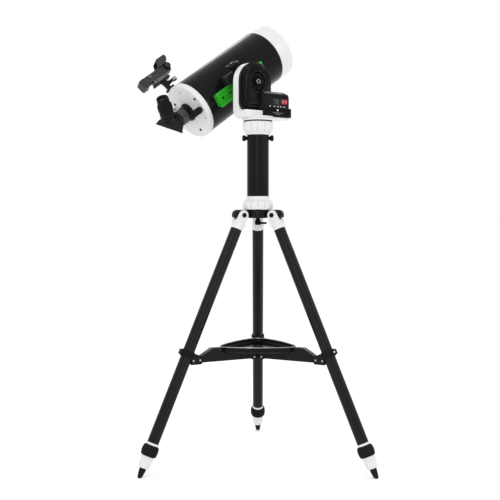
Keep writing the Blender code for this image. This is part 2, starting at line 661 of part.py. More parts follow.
def build_finder():
    """The red-dot finder, on its foot beside the rear cell."""
    frame = new_frame("finder_frame", TUBE, (0, 0, 0), (FINDER_ROLL, 0, 0))
    bracket = block((-124, -9, 73.4), (-103, 9, 79), frame)
    join(bracket, block((-121, -4.5, 78), (-107, 4.5, 102), frame))
    join(bracket, block((-144, -8, 101), (-91, 8, 107), frame))
    join(bracket, block((-141, -10, 106), (-93, 10, 112.6), frame))
    join(bracket, block((-108, -5, 86), (-92, 5, 96), frame))
    cut(bracket, cylinder(2.3, -104, -80, frame, (0, 0, 91), ALONG_X, 8))
    part("finder_bracket", bracket, BLACK_PLASTIC)

    screw = [(0, -80), (4.6, -80), (5.2, -81), (5.2, -91), (2, -91), (2, -103), (0, -103)]
    part("finder_screw", turned(screw, frame, (0, 0, 91), ALONG_X, 10), STEEL)

    body = block((-166, -11, 113), (-74, 11, 135), frame, round_edges=3)
    join(body, block((-174, -12, 108), (-154, 12, 134), frame, round_edges=5))
    hood = [(-105, 134), (-95, 154), (-66, 155), (-64.5, 146), (-70, 139), (-78, 134)]
    hood = plate(hood, 30, frame, rotation=UPRIGHT)
    cut(hood, block((-120, -13, 137), (-50, 13, 151.5), frame))
    join(body, hood)
    join(body, cylinder(8.5, -19, 19, frame, (-81.5, 0, 125), ALONG_Y, 14))
    part("finder_body", body, BLACK_PLASTIC)


STAND = new_frame("stand_frame", None, (STAND_X, STAND_Y, 0))
MOUNT = new_frame("mount_frame", STAND, (0, 0, 0), (0, 0, MOUNT_AZIMUTH))
TUBE = new_frame("tube_frame", MOUNT, (0, TUBE_OFFSET, ALTITUDE_Z), (0, -TUBE_ELEVATION, 0))

build_tripod_hub()
build_hub_bolt()
build_pillar()
for leg_number, leg_angle in enumerate(LEG_ANGLES, 1):
    build_leg(leg_number, leg_angle)
build_spreader()
build_arm_housing()
build_side_cover()
build_battery_box()
build_altitude_drive()
build_saddle()
build_optical_tube()
build_diagonal()
build_finder()
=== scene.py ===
"""Looks for a Maksutov telescope on a one-armed mount, a pillar and a folding tripod.

Shapes are drawn in millimetres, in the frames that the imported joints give.
"""

import json
import math

import bmesh
import bpy
from mathutils import Matrix, Vector


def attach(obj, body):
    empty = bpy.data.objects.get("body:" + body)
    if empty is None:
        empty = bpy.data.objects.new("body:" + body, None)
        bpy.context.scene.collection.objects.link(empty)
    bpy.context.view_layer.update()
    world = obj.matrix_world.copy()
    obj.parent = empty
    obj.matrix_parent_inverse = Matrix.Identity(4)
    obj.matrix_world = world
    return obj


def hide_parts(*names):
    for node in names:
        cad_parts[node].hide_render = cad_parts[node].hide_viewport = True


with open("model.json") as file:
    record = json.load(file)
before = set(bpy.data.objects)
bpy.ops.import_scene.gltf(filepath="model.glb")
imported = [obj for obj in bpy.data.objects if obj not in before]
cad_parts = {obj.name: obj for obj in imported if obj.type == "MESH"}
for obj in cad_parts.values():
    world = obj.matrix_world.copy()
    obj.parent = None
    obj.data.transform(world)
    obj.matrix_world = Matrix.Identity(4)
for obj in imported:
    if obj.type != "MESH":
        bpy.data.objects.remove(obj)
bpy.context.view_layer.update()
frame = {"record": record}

MM = 0.001
JOINTS = {joint["name"]: joint for joint in frame["record"]["behaviour"]["joints"]}


# ---------------------------------------------------------------- frames

def axes_frame(origin, x_axis, z_axis):
    """A 4x4 with its X and Z along the given directions."""
    x_axis = Vector(x_axis).normalized()
    z_axis = Vector(z_axis).normalized()
    y_axis = z_axis.cross(x_axis).normalized()
    turn = Matrix((x_axis, y_axis, z_axis)).transposed().to_4x4()
    return Matrix.Translation(Vector(origin)) @ turn


def shift(x, y, z):
    return Matrix.Translation(Vector((x, y, z)) * MM)


def spin(angle, axis):
    return Matrix.Rotation(math.radians(angle), 4, axis)


def joint_axis(name):
    return Vector(JOINTS[name]["axis"])


ALTITUDE_Z = 933.0
TUBE_OFFSET = 152.6
ALTITUDE_POINT_Y = 26.0
LEG_ANGLES = (90.0, 210.0, 330.0)

pillar_x, pillar_y, _ = JOINTS["azimuth"]["pos_m"]
STAND = Matrix.Translation(Vector((pillar_x, pillar_y, 0.0)))
away = -joint_axis("altitude")
MOUNT = axes_frame((pillar_x, pillar_y, 0.0), away.cross(Vector((0, 0, 1))), (0, 0, 1))
sight = joint_axis("tube_balance")
tube_origin = Vector(JOINTS["altitude"]["pos_m"]) + away * (TUBE_OFFSET - ALTITUDE_POINT_Y) * MM
TUBE = axes_frame(tube_origin, sight, sight.cross(away))
DIAGONAL = axes_frame(tube_origin, sight, joint_axis("eyepiece_pull"))
FINDER = TUBE @ spin(-30, "X")
ALONG_X = spin(90, "Y")
ALONG_Y = spin(-90, "X")
UPRIGHT = spin(90, "X")
SECTION = spin(90, "Z") @ spin(90, "X")


# ---------------------------------------------------------------- materials

def link(tree, source, target):
    tree.links.new(source, target)


def noise(tree, coords, scale, detail=3.0, stretch=None):
    """A noise texture on object coordinates, stretched along an axis for brushed metal."""
    if stretch:
        mapping = tree.nodes.new("ShaderNodeMapping")
        mapping.inputs["Scale"].default_value = stretch
        link(tree, coords, mapping.inputs["Vector"])
        coords = mapping.outputs["Vector"]
    node = tree.nodes.new("ShaderNodeTexNoise")
    node.inputs["Scale"].default_value = scale
    node.inputs["Detail"].default_value = detail
    link(tree, coords, node.inputs["Vector"])
    return node.outputs["Fac"]


def spread(tree, value, low, high, from_low=0.3, from_high=0.7):
    node = tree.nodes.new("ShaderNodeMapRange")
    node.inputs["From Min"].default_value = from_low
    node.inputs["From Max"].default_value = from_high
    node.inputs["To Min"].default_value = low
    node.inputs["To Max"].default_value = high
    link(tree, value, node.inputs["Value"])
    return node.outputs["Result"]


def mix(tree, factor, first, second):
    """Mix two colours; either may be a tuple or a socket."""
    node = tree.nodes.new("ShaderNodeMix")
    node.data_type = "RGBA"
    link(tree, factor, node.inputs[0])
    for socket, value in ((node.inputs[6], first), (node.inputs[7], second)):
        if isinstance(value, tuple):
            socket.default_value = (*value, 1.0)
        else:
            link(tree, value, socket)
    return node.outputs[2]


def finish(name, colour, rough, metallic=0.0, coat=0.0, grain=900.0, bump=0.1, mottle=0.06,
           wear=0.25, stretch=None, rough_spread=0.06, dust=0.05, specular=0.5):
    """A moulded, painted or machined surface: mottled colour, worn edges, dust and fine grain."""
    material = bpy.data.materials.new(name)
    material.use_nodes = True
    tree = material.node_tree
    shader = tree.nodes["Principled BSDF"]
    coords = tree.nodes.new("ShaderNodeTexCoord").outputs["Object"]
    shade = tuple(channel * (1 - mottle) for channel in colour)
    light = tuple(min(1.0, channel * (1 + mottle) + 0.02 * mottle) for channel in colour)
    tone = mix(tree, spread(tree, noise(tree, coords, 22.0), 0.0, 1.0), shade, light)
    pale = tuple(min(1.0, channel + 0.12) for channel in colour)
    powder = noise(tree, coords, 260.0, 6.0)
    tone = mix(tree, spread(tree, powder, 0.0, dust, 0.55, 0.8), tone, pale)
    edges = tree.nodes.new("ShaderNodeNewGeometry").outputs["Pointiness"]
    worn = spread(tree, edges, 0.0, wear, 0.52, 0.62)
    tone = mix(tree, worn, tone, pale)
    link(tree, tone, shader.inputs["Base Color"])
    smear = noise(tree, coords, 60.0, 5.0, stretch)
    link(tree, spread(tree, smear, max(0.02, rough - rough_spread), rough + rough_spread),
         shader.inputs["Roughness"])
    relief = tree.nodes.new("ShaderNodeBump")
    relief.inputs["Strength"].default_value = bump
    relief.inputs["Distance"].default_value = 0.0004
    link(tree, noise(tree, coords, grain, 4.0, stretch), relief.inputs["Height"])
    link(tree, relief.outputs["Normal"], shader.inputs["Normal"])
    shader.inputs["Metallic"].default_value = metallic
    shader.inputs["Coat Weight"].default_value = coat
    shader.inputs["Coat Roughness"].default_value = 0.08
    shader.inputs["Specular IOR Level"].default_value = specular
    return material


def glass(name, tint, rough=0.01):
    material = finish(name, tint, 0.03, grain=300.0, bump=0.004, mottle=0.02, wear=0.0,
                      rough_spread=0.01, dust=0.02)
    shader = material.node_tree.nodes["Principled BSDF"]
    shader.inputs["Transmission Weight"].default_value = 1.0
    shader.inputs["IOR"].default_value = 1.12
    shader.inputs["Coat Weight"].default_value = 0.6
    shader.inputs["Coat Roughness"].default_value = rough
    shader.inputs["Coat Tint"].default_value = (0.75, 0.9, 0.8, 1.0)
    return material


LONG = (1.0, 1.0, 0.05)
GLOSS_BLACK = finish("gloss_black_paint", (0.004, 0.004, 0.0045), 0.2, coat=0.04, grain=700.0,
                     bump=0.012, wear=0.06, dust=0.01, specular=0.06)
SATIN_BLACK = finish("satin_black_paint", (0.005, 0.005, 0.0055), 0.26, grain=1100.0, bump=0.07,
                     wear=0.1, dust=0.015, stretch=LONG, specular=0.12)
WHITE = finish("white_paint", (0.69, 0.69, 0.695), 0.34, coat=0.2, grain=1500.0, bump=0.05,
               mottle=0.015, wear=0.1, dust=0.03)
WHITE_CAST = finish("white_casting", (0.67, 0.67, 0.675), 0.42, coat=0.1, grain=900.0,
                    bump=0.13, mottle=0.02, wear=0.1)
BLACK_PLASTIC = finish("black_grained_plastic", (0.006, 0.006, 0.0065), 0.4, grain=2200.0,
                       bump=0.25, wear=0.25, dust=0.02, specular=0.06)
GLOSS_PLASTIC = finish("black_gloss_plastic", (0.003, 0.003, 0.0035), 0.14, coat=0.03,
                       grain=500.0, bump=0.03, wear=0.25, dust=0.01, specular=0.05)
GREY_PLASTIC = finish("dark_grey_plastic", (0.026, 0.026, 0.028), 0.4, grain=2000.0, bump=0.25,
                      wear=0.4, specular=0.2)
# Mid grey for trim pieces; also the colour of the painted highlight strip on the battery box edge.
MID_GREY_TRIM_AND_PAINTED_HIGHLIGHT = finish("mid_grey_trim_and_painted_highlight", (0.085, 0.085, 0.09), 0.4, grain=1600.0, bump=0.15, wear=0.3)
GUNMETAL = finish("gunmetal", (0.07, 0.07, 0.075), 0.28, metallic=0.6, grain=900.0, bump=0.1,
                  wear=0.2, specular=0.4)
RUBBER = finish("black_rubber", (0.008, 0.008, 0.008), 0.6, grain=1600.0, bump=0.35,
                mottle=0.12, wear=0.25, dust=0.03, specular=0.06)
ANODISED = finish("black_anodised", (0.006, 0.006, 0.007), 0.3, metallic=0.1, grain=1200.0,
                  bump=0.1, wear=0.25, dust=0.02, specular=0.08)
GREEN = finish("green_anodised", (0.008, 0.37, 0.002), 0.36, metallic=0.3, grain=900.0,
               bump=0.1, mottle=0.08, wear=0.5, dust=0.01, stretch=(0.05, 1.0, 1.0),
               specular=0.12)
STEEL = finish("brushed_steel", (0.36, 0.36, 0.38), 0.3, metallic=1.0, grain=900.0, bump=0.12,
               stretch=(1.0, 1.0, 0.04), wear=0.3)
CHROME = finish("polished_steel", (0.68, 0.68, 0.7), 0.14, metallic=1.0, grain=600.0, bump=0.03)
BRASS = finish("brass", (0.62, 0.42, 0.14), 0.3, metallic=1.0, grain=900.0, bump=0.15)
MIRROR = finish("aluminised_mirror", (0.88, 0.89, 0.9), 0.05, metallic=1.0, grain=200.0,
                bump=0.004, wear=0.0, rough_spread=0.02)
MATT_BLACK = finish("baffle_black", (0.006, 0.006, 0.006), 0.85, grain=800.0, bump=0.3,
                    specular=0.2)
RED = finish("red_plastic", (0.34, 0.006, 0.022), 0.35, coat=0.1, grain=1200.0, bump=0.06)
TEAL = finish("teal_insert", (0.006, 0.09, 0.085), 0.35, grain=1200.0, bump=0.08)
PRINT = finish("white_print", (0.72, 0.72, 0.72), 0.55, grain=2500.0, bump=0.1, mottle=0.1)
GREY_PRINT = finish("grey_print", (0.2, 0.2, 0.21), 0.55, grain=2500.0, bump=0.1, mottle=0.1)
LENS = glass("coated_glass", (0.92, 0.97, 0.94))


# ---------------------------------------------------------------- shapes

def add(name, mesh, matrix, material, body, node=None, angle=32, bevel=0.0, segments=3):
    """Put a finished piece in the scene, riding on its body and standing for its node."""
    item = bpy.data.objects.new(name, mesh)
    bpy.context.scene.collection.objects.link(item)
    item.matrix_world = matrix
    mesh.materials.append(material)
    mesh.shade_smooth()
    mesh.set_sharp_from_angle(angle=math.radians(angle))
    if bevel:
        rounding = item.modifiers.new("rounding", "BEVEL")
        rounding.width = bevel * MM
        rounding.segments = segments
        rounding.limit_method = "ANGLE"
        rounding.angle_limit = math.radians(angle)
        rounding.harden_normals = True
        rounding.use_clamp_overlap = True
    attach(item, body)
    for each in [node] if isinstance(node, str) else (node or []):
        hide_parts(each)
    return item


def from_bmesh(shape):
    bmesh.ops.remove_doubles(shape, verts=shape.verts, dist=0.000002)
    bmesh.ops.recalc_face_normals(shape, faces=shape.faces)
    mesh = bpy.data.meshes.new("piece")
    shape.to_mesh(mesh)
    shape.free()
    return mesh


def rings_mesh(rings, closed, capped):
    """Faces between rings of points; closed joins the last ring to the first."""
    shape = bmesh.new()
    made = [[shape.verts.new(Vector(point) * MM) for point in ring] for ring in rings]
    count = len(rings[0])
    pairs = list(zip(made, made[1:]))
    if closed:
        pairs.append((made[-1], made[0]))
    for first, second in pairs:
        for index in range(count):
            after = (index + 1) % count
            shape.faces.new((first[index], first[after], second[after], second[index]))
    if capped:
        shape.faces.new(made[0])
        shape.faces.new(made[-1])
    return from_bmesh(shape)


def rounded(points, radius, steps=3):
    """Round the inner corners of an open profile."""
    result = [points[0]]
    for before, corner, after in zip(points, points[1:], points[2:]):
        corner = Vector(corner)
        to_before = Vector(before) - corner
        to_after = Vector(after) - corner
        reach = min(radius, to_before.length * 0.45, to_after.length * 0.45)
        start = corner + to_before.normalized() * reach
        end = corner + to_after.normalized() * reach
        for step in range(steps + 1):
            part = step / steps
            curve = start * (1 - part) ** 2 + corner * 2 * part * (1 - part) + end * part ** 2
            result.append(tuple(curve))
    result.append(points[-1])
    return result


def lathe(name, profile, matrix, material, body, node=None, steps=96, soft=0.8, ripple=None,
          ring=False, angle=40, flat_at=None):
    """Turn a profile of (radius, height); ripple(angle, radius, height) adds to the radius."""
    if ring:
        profile = profile + [profile[0], profile[1]]
        profile = rounded(profile, soft)[1:-2] if soft else profile[:-2]
    elif soft:
        profile = rounded(profile, soft)
    rings = []
    for radius, height in profile:
        loop = []
        for step in range(steps):
            turn = 2 * math.pi * step / steps
            reach = max(radius, 0.0005)
            if ripple:
                reach = reach + ripple(turn, radius, height)
            loop.append((reach * math.cos(turn), reach * math.sin(turn), height))
        rings.append(loop)
    mesh = rings_mesh(rings, closed=ring, capped=not ring)
    if flat_at is not None:
        flatten(mesh, matrix, flat_at)
    return add(name, mesh, matrix, material, body, node, angle)


def flatten(mesh, matrix, level):
    """Press whatever lies below a level up to it."""
    back = matrix.inverted()
    for vertex in mesh.vertices:
        place = matrix @ vertex.co
        if place.z < level:
            place.z = level
            vertex.co = back @ place


def extruded(outline, depth):
    """A flat outline in the local XY plane, depth thick about it."""
    shape = bmesh.new()
    face = shape.faces.new([shape.verts.new((x * MM, y * MM, -depth / 2 * MM))
                            for x, y in outline])
    grown = bmesh.ops.extrude_face_region(shape, geom=[face])
    top = [item for item in grown["geom"] if isinstance(item, bmesh.types.BMVert)]
    bmesh.ops.translate(shape, verts=top, vec=(0, 0, depth * MM))
    return from_bmesh(shape)


def slab(name, outline, depth, matrix, material, body, node=None, bevel=1.0, segments=3,
         angle=32):
    """A flat piece of even depth with rounded edges."""
    mesh = extruded(outline, depth)
    return add(name, mesh, matrix, material, body, node, angle, bevel, segments)


def brick(name, low, high, matrix, material, body, node=None, bevel=1.0, segments=3):
    """A moulded block between two corners."""
    outline = [(low[0], low[1]), (high[0], low[1]), (high[0], high[1]), (low[0], high[1])]
    place = matrix @ shift(0, 0, (low[2] + high[2]) / 2)
    return slab(name, outline, high[2] - low[2], place, material, body, node, bevel, segments)


def cut_with(item, matrix, outline, depth):
    """Cut an outline, depth thick about the local XY plane, out of a piece."""
    cutter = bpy.data.objects.new("cutter", extruded(outline, depth))
    bpy.context.scene.collection.objects.link(cutter)
    cutter.matrix_world = matrix
    boolean = item.modifiers.new("cut", "BOOLEAN")
    boolean.operation = "DIFFERENCE"
    boolean.object = cutter
    order = len(item.modifiers) - 1
    item.modifiers.move(order, 0)
    bpy.context.view_layer.update()
    keep = [each for each in item.modifiers if each.name != "cut"]
    shown = [each.show_viewport for each in keep]
    for each in keep:
        each.show_viewport = False
    graph = bpy.context.evaluated_depsgraph_get()
    mesh = bpy.data.meshes.new_from_object(item.evaluated_get(graph))
    for each, was in zip(keep, shown):
        each.show_viewport = was
    item.modifiers.remove(item.modifiers["cut"])
    item.data = mesh
    mesh.shade_smooth()
    mesh.set_sharp_from_angle(angle=math.radians(32))
    bpy.data.objects.remove(cutter)


def arc(x, y, radius, start, end, count=12):
    points = []
    for index in range(count + 1):
        turn = math.radians(start + (end - start) * index / count)
        points.append((x + radius * math.cos(turn), y + radius * math.sin(turn)))
    return points


def disc(radius, count=32, x=0.0, y=0.0):
    return arc(x, y, radius, 0, 360 - 360 / count, count - 1)


def ribs(count, depth, low, high, sharp=1.0):
    """A ripple that flutes the heights between low and high."""
    def ripple(turn, _radius, height):
        if not low <= height <= high:
            return 0.0
        wave = 0.5 + 0.5 * math.cos(count * turn)
        return -depth * wave ** sharp
    return ripple


def screw_head(name, matrix, radius, body, material=STEEL, height=1.4):
    """A socket-head screw, standing along the local Z axis."""
    profile = [(0, height * 0.3), (radius * 0.5, height * 0.3), (radius * 0.55, height),
               (radius * 0.92, height), (radius, height * 0.8), (radius, -0.3), (0, -0.3)]
    return lathe(name, profile, matrix, material, body, steps=24, soft=0.15)


# ---------------------------------------------------------------- tripod

LEG_SPLAY = 24.1
LEG_PIVOT_RADIUS = 45.5
LEG_PIVOT_Z = 606.7
ARM_TIP_RADIUS = 164.7
ARM_TIP_Z = 263.0
ARM_PIVOT_RADIUS = 15.0
ARM_PIVOT_Z = 260.0
ARM_WIDTH = 18.0
BRACKET_AT = 360.0
TRAY_CORNER_AT = 72.0
TRAY_CORNER_RADIUS = 30.0
TRAY_SIDE_REACH = 72.5
TRAY_SIDE_RADIUS = 330.0


def build_hub():
    core = [(0, 620.6), (28, 620.6), (28, 601), (0, 601)]
    lathe("tripod_hub_core", core, STAND, SATIN_BLACK, "stand", "tripod_hub", soft=1.5)
    tongue = [(10, 601), (10, 620.2), *arc(58, 608.2, 12, 90, 0, 10), (70, 603), (68, 601)]
    for number, angle in enumerate(LEG_ANGLES, 1):
        matrix = STAND @ spin(angle, "Z") @ UPRIGHT
        slab(f"tripod_hub_lug_{number}", tongue, 12, matrix, SATIN_BLACK, "stand", bevel=1.2)
    under = [(0, 602), (22, 602), (22, 599.6), (12, 599.6), (12, 602.5), (0, 602.5)]
    lathe("tripod_hub_boss", under, STAND, SATIN_BLACK, "stand", soft=0.4)

    bolt = [(0, 642), (4.6, 642), (5, 641), (5, 594), (7.6, 593), (7.6, 585), (6, 583), (0, 583)]
    lathe("hub_bolt_grip", bolt, STAND, GLOSS_PLASTIC, "hub_bolt", "hub_bolt", soft=0.8,
          ripple=ribs(14, 0.6, 586, 592))
    lever = [(5, -3), (18, -2), *arc(19.5, 0, 2.4, -60, 60), (18, 2), (5, 3)]
    place = STAND @ spin(-12, "Z") @ shift(0, 0, 587.5)
    slab("hub_bolt_lever", lever, 5, place, GLOSS_PLASTIC, "hub_bolt", bevel=1.2)


def lobes(count, depth, low, high, power=0.35):
    """Broad lobes parted by narrow grooves, fading out towards low and high."""
    def ripple(turn, _radius, height):
        if not low < height < high:
            return 0.0
        fade = min(1.0, (height - low) / 2.5, (high - height) / 2.5)
        groove = 1 - abs(math.sin(count * turn / 2)) ** power
        return -depth * groove * fade
    return ripple


def build_pillar():
    flange = [(0, 673), (24.6, 673), (24.6, 653), (28, 653), (28.5, 646), (33, 642.5), (37, 639),
              (38, 636), (38, 625), (36, 620.9), (0, 620.9)]
    lathe("lower_flange", flange, STAND, WHITE_CAST, "stand", "lower_flange", steps=240,
          soft=1.6, ripple=lobes(12, 3.4, 621.5, 645, 0.5))
    tube = [(26.8, 802.3), (26.8, 653.3), (25, 653.3), (25, 802.3)]
    lathe("pillar_tube", tube, STAND, GLOSS_BLACK, "stand", "pillar_tube", soft=0.4, ring=True,
          steps=128)
    flange = [(0, 834.8), (34, 834.8), (35.5, 834), (38.2, 829), (38.5, 822), (37.2, 815),
              (33, 809), (29.5, 806), (28.5, 802.6), (24.6, 802.6), (24.6, 780), (0, 780)]
    lathe("upper_flange", flange, STAND, WHITE_CAST, "stand", "upper_flange", steps=240,
          soft=1.6, ripple=lobes(12, 3.6, 806, 833.5, 0.5))
    for name, angle in (("pillar_screw_right", 0), ("pillar_screw_left", 180)):
        matrix = STAND @ shift(0, 0, 795) @ spin(angle, "Z") @ ALONG_X
        knob = [(0, 38.6), (4.4, 38.6), (7.2, 37), (7.5, 34), (7, 31), (5.2, 29.4), (4.4, 28.4),
                (4.4, 26.9), (3.1, 26.9), (3.1, 24.92), (0, 24.92)]
        lathe(name, knob, matrix, BLACK_PLASTIC, name, name, steps=96, soft=1.0,
              ripple=ribs(12, 0.4, 30.5, 37.2))
    post = [(0, 846.6), (9, 846.6), (9, 842.8), (37, 842.8), (38, 841.8), (38, 838), (37, 837.4),
            (0, 837.4)]
    lathe("azimuth_base", post, STAND, WHITE, "stand", "azimuth_base", soft=0.4)
    seal = [(0, 837.5), (35, 837.5), (35, 835.1), (0, 835.1)]
    lathe("azimuth_seal", seal, STAND, RUBBER, "stand", soft=0.3)


def build_leg(number, angle):
    radial = STAND @ spin(angle, "Z")
    leg = radial @ shift(LEG_PIVOT_RADIUS, 0, LEG_PIVOT_Z) @ spin(-LEG_SPLAY, "Y")
    body = f"leg_{number}"
    shoulder = [(0, -16), (13.6, -16), (14.4, -19), (14.75, -24), (14.75, -37), (12.2, -37),
                (12.2, -56), (0, -56)]
    lathe(f"leg_clevis_{number}", shoulder, leg, WHITE_CAST, body, f"leg_clevis_{number}",
          soft=1.0)
    ear = arc(0, 0, 12.3, 0, 180, 28) + [(-13.6, -18), (-14.2, -26), (14.2, -26), (13.6, -18)]
    for side, offset in (("a", -9.65), ("b", 9.65)):
        slab(f"leg_ear_{number}{side}", ear, 6.7, leg @ shift(0, offset, 0) @ UPRIGHT,
             WHITE_CAST, body, bevel=1.3)
    shank = [(0, 13.4), (3.5, 13.4), (3.5, -13.4), (0, -13.4)]
    lathe(f"leg_pin_{number}", shank, leg @ ALONG_Y, STEEL, "stand", f"leg_pin_{number}",
          steps=24, soft=0.2)
    for side, turn in (("a", 0), ("b", 180)):
        head = [(0, 14.2), (2.3, 14.2), (2.8, 15.5), (4.9, 15.5), (5.6, 14.9), (5.6, 13.3),
                (0, 13.3)]
        lathe(f"leg_pin_head_{number}{side}", head, leg @ spin(turn, "Z") @ ALONG_Y,
              GLOSS_PLASTIC, "stand", steps=48, soft=0.25)

    tube = [(14, -37.3), (14, -580.6), (12.5, -580.6), (12.5, -37.3)]
    lathe(f"leg_tube_{number}", tube, leg, SATIN_BLACK, body, f"leg_tube_{number}", soft=0.3,
          ring=True)
    ferrule = [(15, -580.4), (15.2, -582), (15, -585.6), (12.5, -585.6), (12.5, -580.4)]
    lathe(f"leg_ferrule_{number}", ferrule, leg, WHITE, body, soft=0.4, ring=True)

    grip = [(16, -585.9), (18.2, -588), (19.4, -593), (20, -599), (19.4, -606), (18.2, -610.5),
            (16.2, -611.9), (12.3, -611.9), (12.3, -585.9)]
    lathe(f"leg_lock_{number}", grip, leg, RUBBER, f"lock_{number}", f"leg_lock_{number}",
          steps=192, soft=1.5, ring=True, ripple=ribs(32, 0.35, -609, -589))

    inner = [(12, -165), (12, -613), (10.6, -613), (10.6, -165)]
    foot = f"foot_{number}"
    lathe(f"inner_tube_{number}", inner, leg, STEEL, foot, soft=0.2, ring=True, steps=48)
    casting = [(0, -611), (11.9, -611), (11.9, -612.2), (14.6, -612.2), (15, -613), (15, -621),
               (14.2, -621.6), (14, -622.4), (14, -634), (12.9, -638.5), (12, -641), (0, -641)]
    lathe(f"inner_leg_{number}", casting, leg, WHITE_CAST, foot, f"inner_leg_{number}", soft=0.6)
    tip = [(0, -641.3), (8.2, -641.3), (8.2, -645.3), (7.6, -650.3), (6.4, -658.3), (5, -665.3),
           (0, -667.3)]
    lathe(f"rubber_foot_{number}", tip, leg, RUBBER, foot, f"rubber_foot_{number}", steps=48,
          soft=1.0, flat_at=0.0)

    build_bracket(number, leg, radial, body)


def build_bracket(number, leg, radial, body):
    """The band round a leg and the fork that holds the end of a spreader arm."""
    band = [(radius, along - BRACKET_AT) for radius, along in
            ((16.8, 8.5), (17.2, 7.5), (17.2, -7.5), (16.8, -8.5), (14.3, -8.5), (14.3, 8.5))]
    lathe(f"leg_band_{number}", band, leg, BLACK_PLASTIC, body, f"spreader_bracket_{number}",
          soft=0.3, ring=True)
    brick(f"band_ear_{number}", (15.5, -4, -BRACKET_AT - 6.5), (23, 4, -BRACKET_AT + 6.5), leg,
          BLACK_PLASTIC, body)
    matrix = leg @ shift(19.6, -4.1, -BRACKET_AT) @ spin(90, "X")
    screw_head(f"band_screw_{number}", matrix, 2.4, body, CHROME)
    cheek = arc(164, 258.5, 5.5, 180, 270, 10) + [(189.5, 253), (188.5, 258), (184, 269)]
    cheek += [(183, 274.4)] + arc(164, 268.9, 5.5, 90, 180, 10)
    for side, offset in (("a", -10.85), ("b", 10.85)):
        slab(f"fork_cheek_{number}{side}", cheek, 3.1, radial @ shift(0, offset, 0) @ UPRIGHT,
             BLACK_PLASTIC, body, bevel=0.7)
    root = [(179.9, 253.6), (186.4, 253.6), (182, 273.8), (179.9, 273.8)]
    slab(f"fork_root_{number}", root, 21, radial @ UPRIGHT, BLACK_PLASTIC, body, bevel=0.5)
    for radius, name in ((ARM_TIP_RADIUS, "pin"), (182.5, "rivet")):
        for side, turn in (("a", 0), ("b", 180)):
            matrix = radial @ shift(radius, 0, ARM_TIP_Z) @ spin(turn, "Z") @ ALONG_Y
            matrix = matrix @ shift(0, 0, 12.3)
            cap = [(0, 1.3), (1.6, 1.2), (2.6, 0.5), (2.9, -0.2), (0, -0.2)]
            lathe(f"fork_{name}_{number}{side}", cap, matrix, STEEL, body, steps=32, soft=0.2)


def build_spreader():
    post = [(0, 275.7), (4.6, 275.7), (4.6, 253), (0, 253)]
    lathe("spreader_hub", post, STAND, SATIN_BLACK, "spreader", "spreader_hub", soft=0.6)
    tongue = [(0, 253), (0, 269), (18, 269), (22, 265), (22, 256), (19, 253)]
    for number, angle in enumerate(LEG_ANGLES, 1):
        radial = STAND @ spin(angle, "Z")
        slab(f"spreader_lug_{number}", tongue, 14, radial @ UPRIGHT, SATIN_BLACK, "spreader",
             bevel=1.0)
        for side, turn in (("a", 0), ("b", 180)):
            pivot = radial @ shift(ARM_PIVOT_RADIUS, 0, ARM_PIVOT_Z) @ spin(turn, "Z") @ ALONG_Y
            rivet = [(0, 10.9), (1.6, 10.8), (2.9, 10.1), (3.2, 9.4), (2.1, 9.2), (2.1, 6.5),
                     (0, 6.5)]
            lathe(f"spreader_rivet_{number}{side}", rivet, pivot, STEEL, "spreader", steps=32,
                  soft=0.2)
        build_arm(number, radial @ shift(ARM_PIVOT_RADIUS, 0, ARM_PIVOT_Z))
    build_tray()


def build_arm(number, matrix):
    """A pressed channel, open below, with a raised rest for the tray."""
    reach = ARM_TIP_RADIUS - ARM_PIVOT_RADIUS
    rise = ARM_TIP_Z - ARM_PIVOT_Z
    top = [(reach - 9, 13.5), (114, 28.6), (89.5, 28.6), (88, 15.3), (-8, 13.2)]
    side = [(-8, 0), (-6, -3.5), (0, -4.5), (reach - 8, -3.6)]
    side += arc(reach, rise, 6.4, -90, 90, 16) + top
    under = [(reach, 7.7), (reach - 9.6, 11.8), (113.2, 26.8), (91.2, 26.8), (89.8, 13.6),
             (-8, 11.4)]
    body = f"arm_{number}"
    for letter, offset in (("a", -8.2), ("b", 8.2)):
        node = f"spreader_arm_{number}" if letter == "a" else None
        slab(f"spreader_arm_{number}{letter}", side, 1.6, matrix @ shift(0, offset, 0) @ UPRIGHT,
             SATIN_BLACK, body, node, bevel=0.35)
    slab(f"arm_web_{number}", top[::-1] + [(reach, 9.4)] + under, ARM_WIDTH,
         matrix @ UPRIGHT, SATIN_BLACK, body, bevel=0.35)


def tray_ring(inset, height):
    """A triangle with round corners, whose sides bulge a little."""
    points = []
    for angle in LEG_ANGLES:
        middle = math.radians(angle)
        points += arc(TRAY_CORNER_AT * math.cos(middle), TRAY_CORNER_AT * math.sin(middle),
                      TRAY_CORNER_RADIUS - inset, angle - 48, angle + 48, 32)
        middle = math.radians(angle + 60)
        centre = TRAY_SIDE_REACH - TRAY_SIDE_RADIUS
        points += arc(centre * math.cos(middle), centre * math.sin(middle),
                      TRAY_SIDE_RADIUS - inset, angle + 49, angle + 71, 16)
    return [(x, y, height) for x, y in points]


def build_tray():
    outer = [(9, 276), (2.5, 276.3), (0.6, 277.6), (0, 280), (0, 288.6), (0.3, 289.6), (1, 290)]
    inner = [(1.6, 289.7), (2, 288.8), (2.2, 283), (2.8, 280), (4.5, 278.8), (11, 278.5)]
    mesh = rings_mesh([tray_ring(inset, height) for inset, height in outer + inner],
                      closed=False, capped=True)
    add("accessory_tray", mesh, STAND, GLOSS_PLASTIC, "spreader", "accessory_tray", angle=50)
    rim = [tray_ring(inset, height) for inset, height in
           ((0.1, 289.0), (0.4, 290.0), (1.1, 290.35), (1.7, 290.0), (1.9, 289.0))]
    add("tray_rim", rings_mesh(rim, closed=True, capped=False), STAND, STEEL, "spreader")
    knob = [(0, 281), (5.5, 281), (6, 280.3), (6, 278.2), (0, 278.2)]
    lathe("tray_boss", knob, STAND, GLOSS_PLASTIC, "spreader", soft=0.6, steps=48)


build_hub()
build_pillar()
for leg_number, leg_angle in enumerate(LEG_ANGLES, 1):
    build_leg(leg_number, leg_angle)
build_spreader()


# ---------------------------------------------------------------- mount head

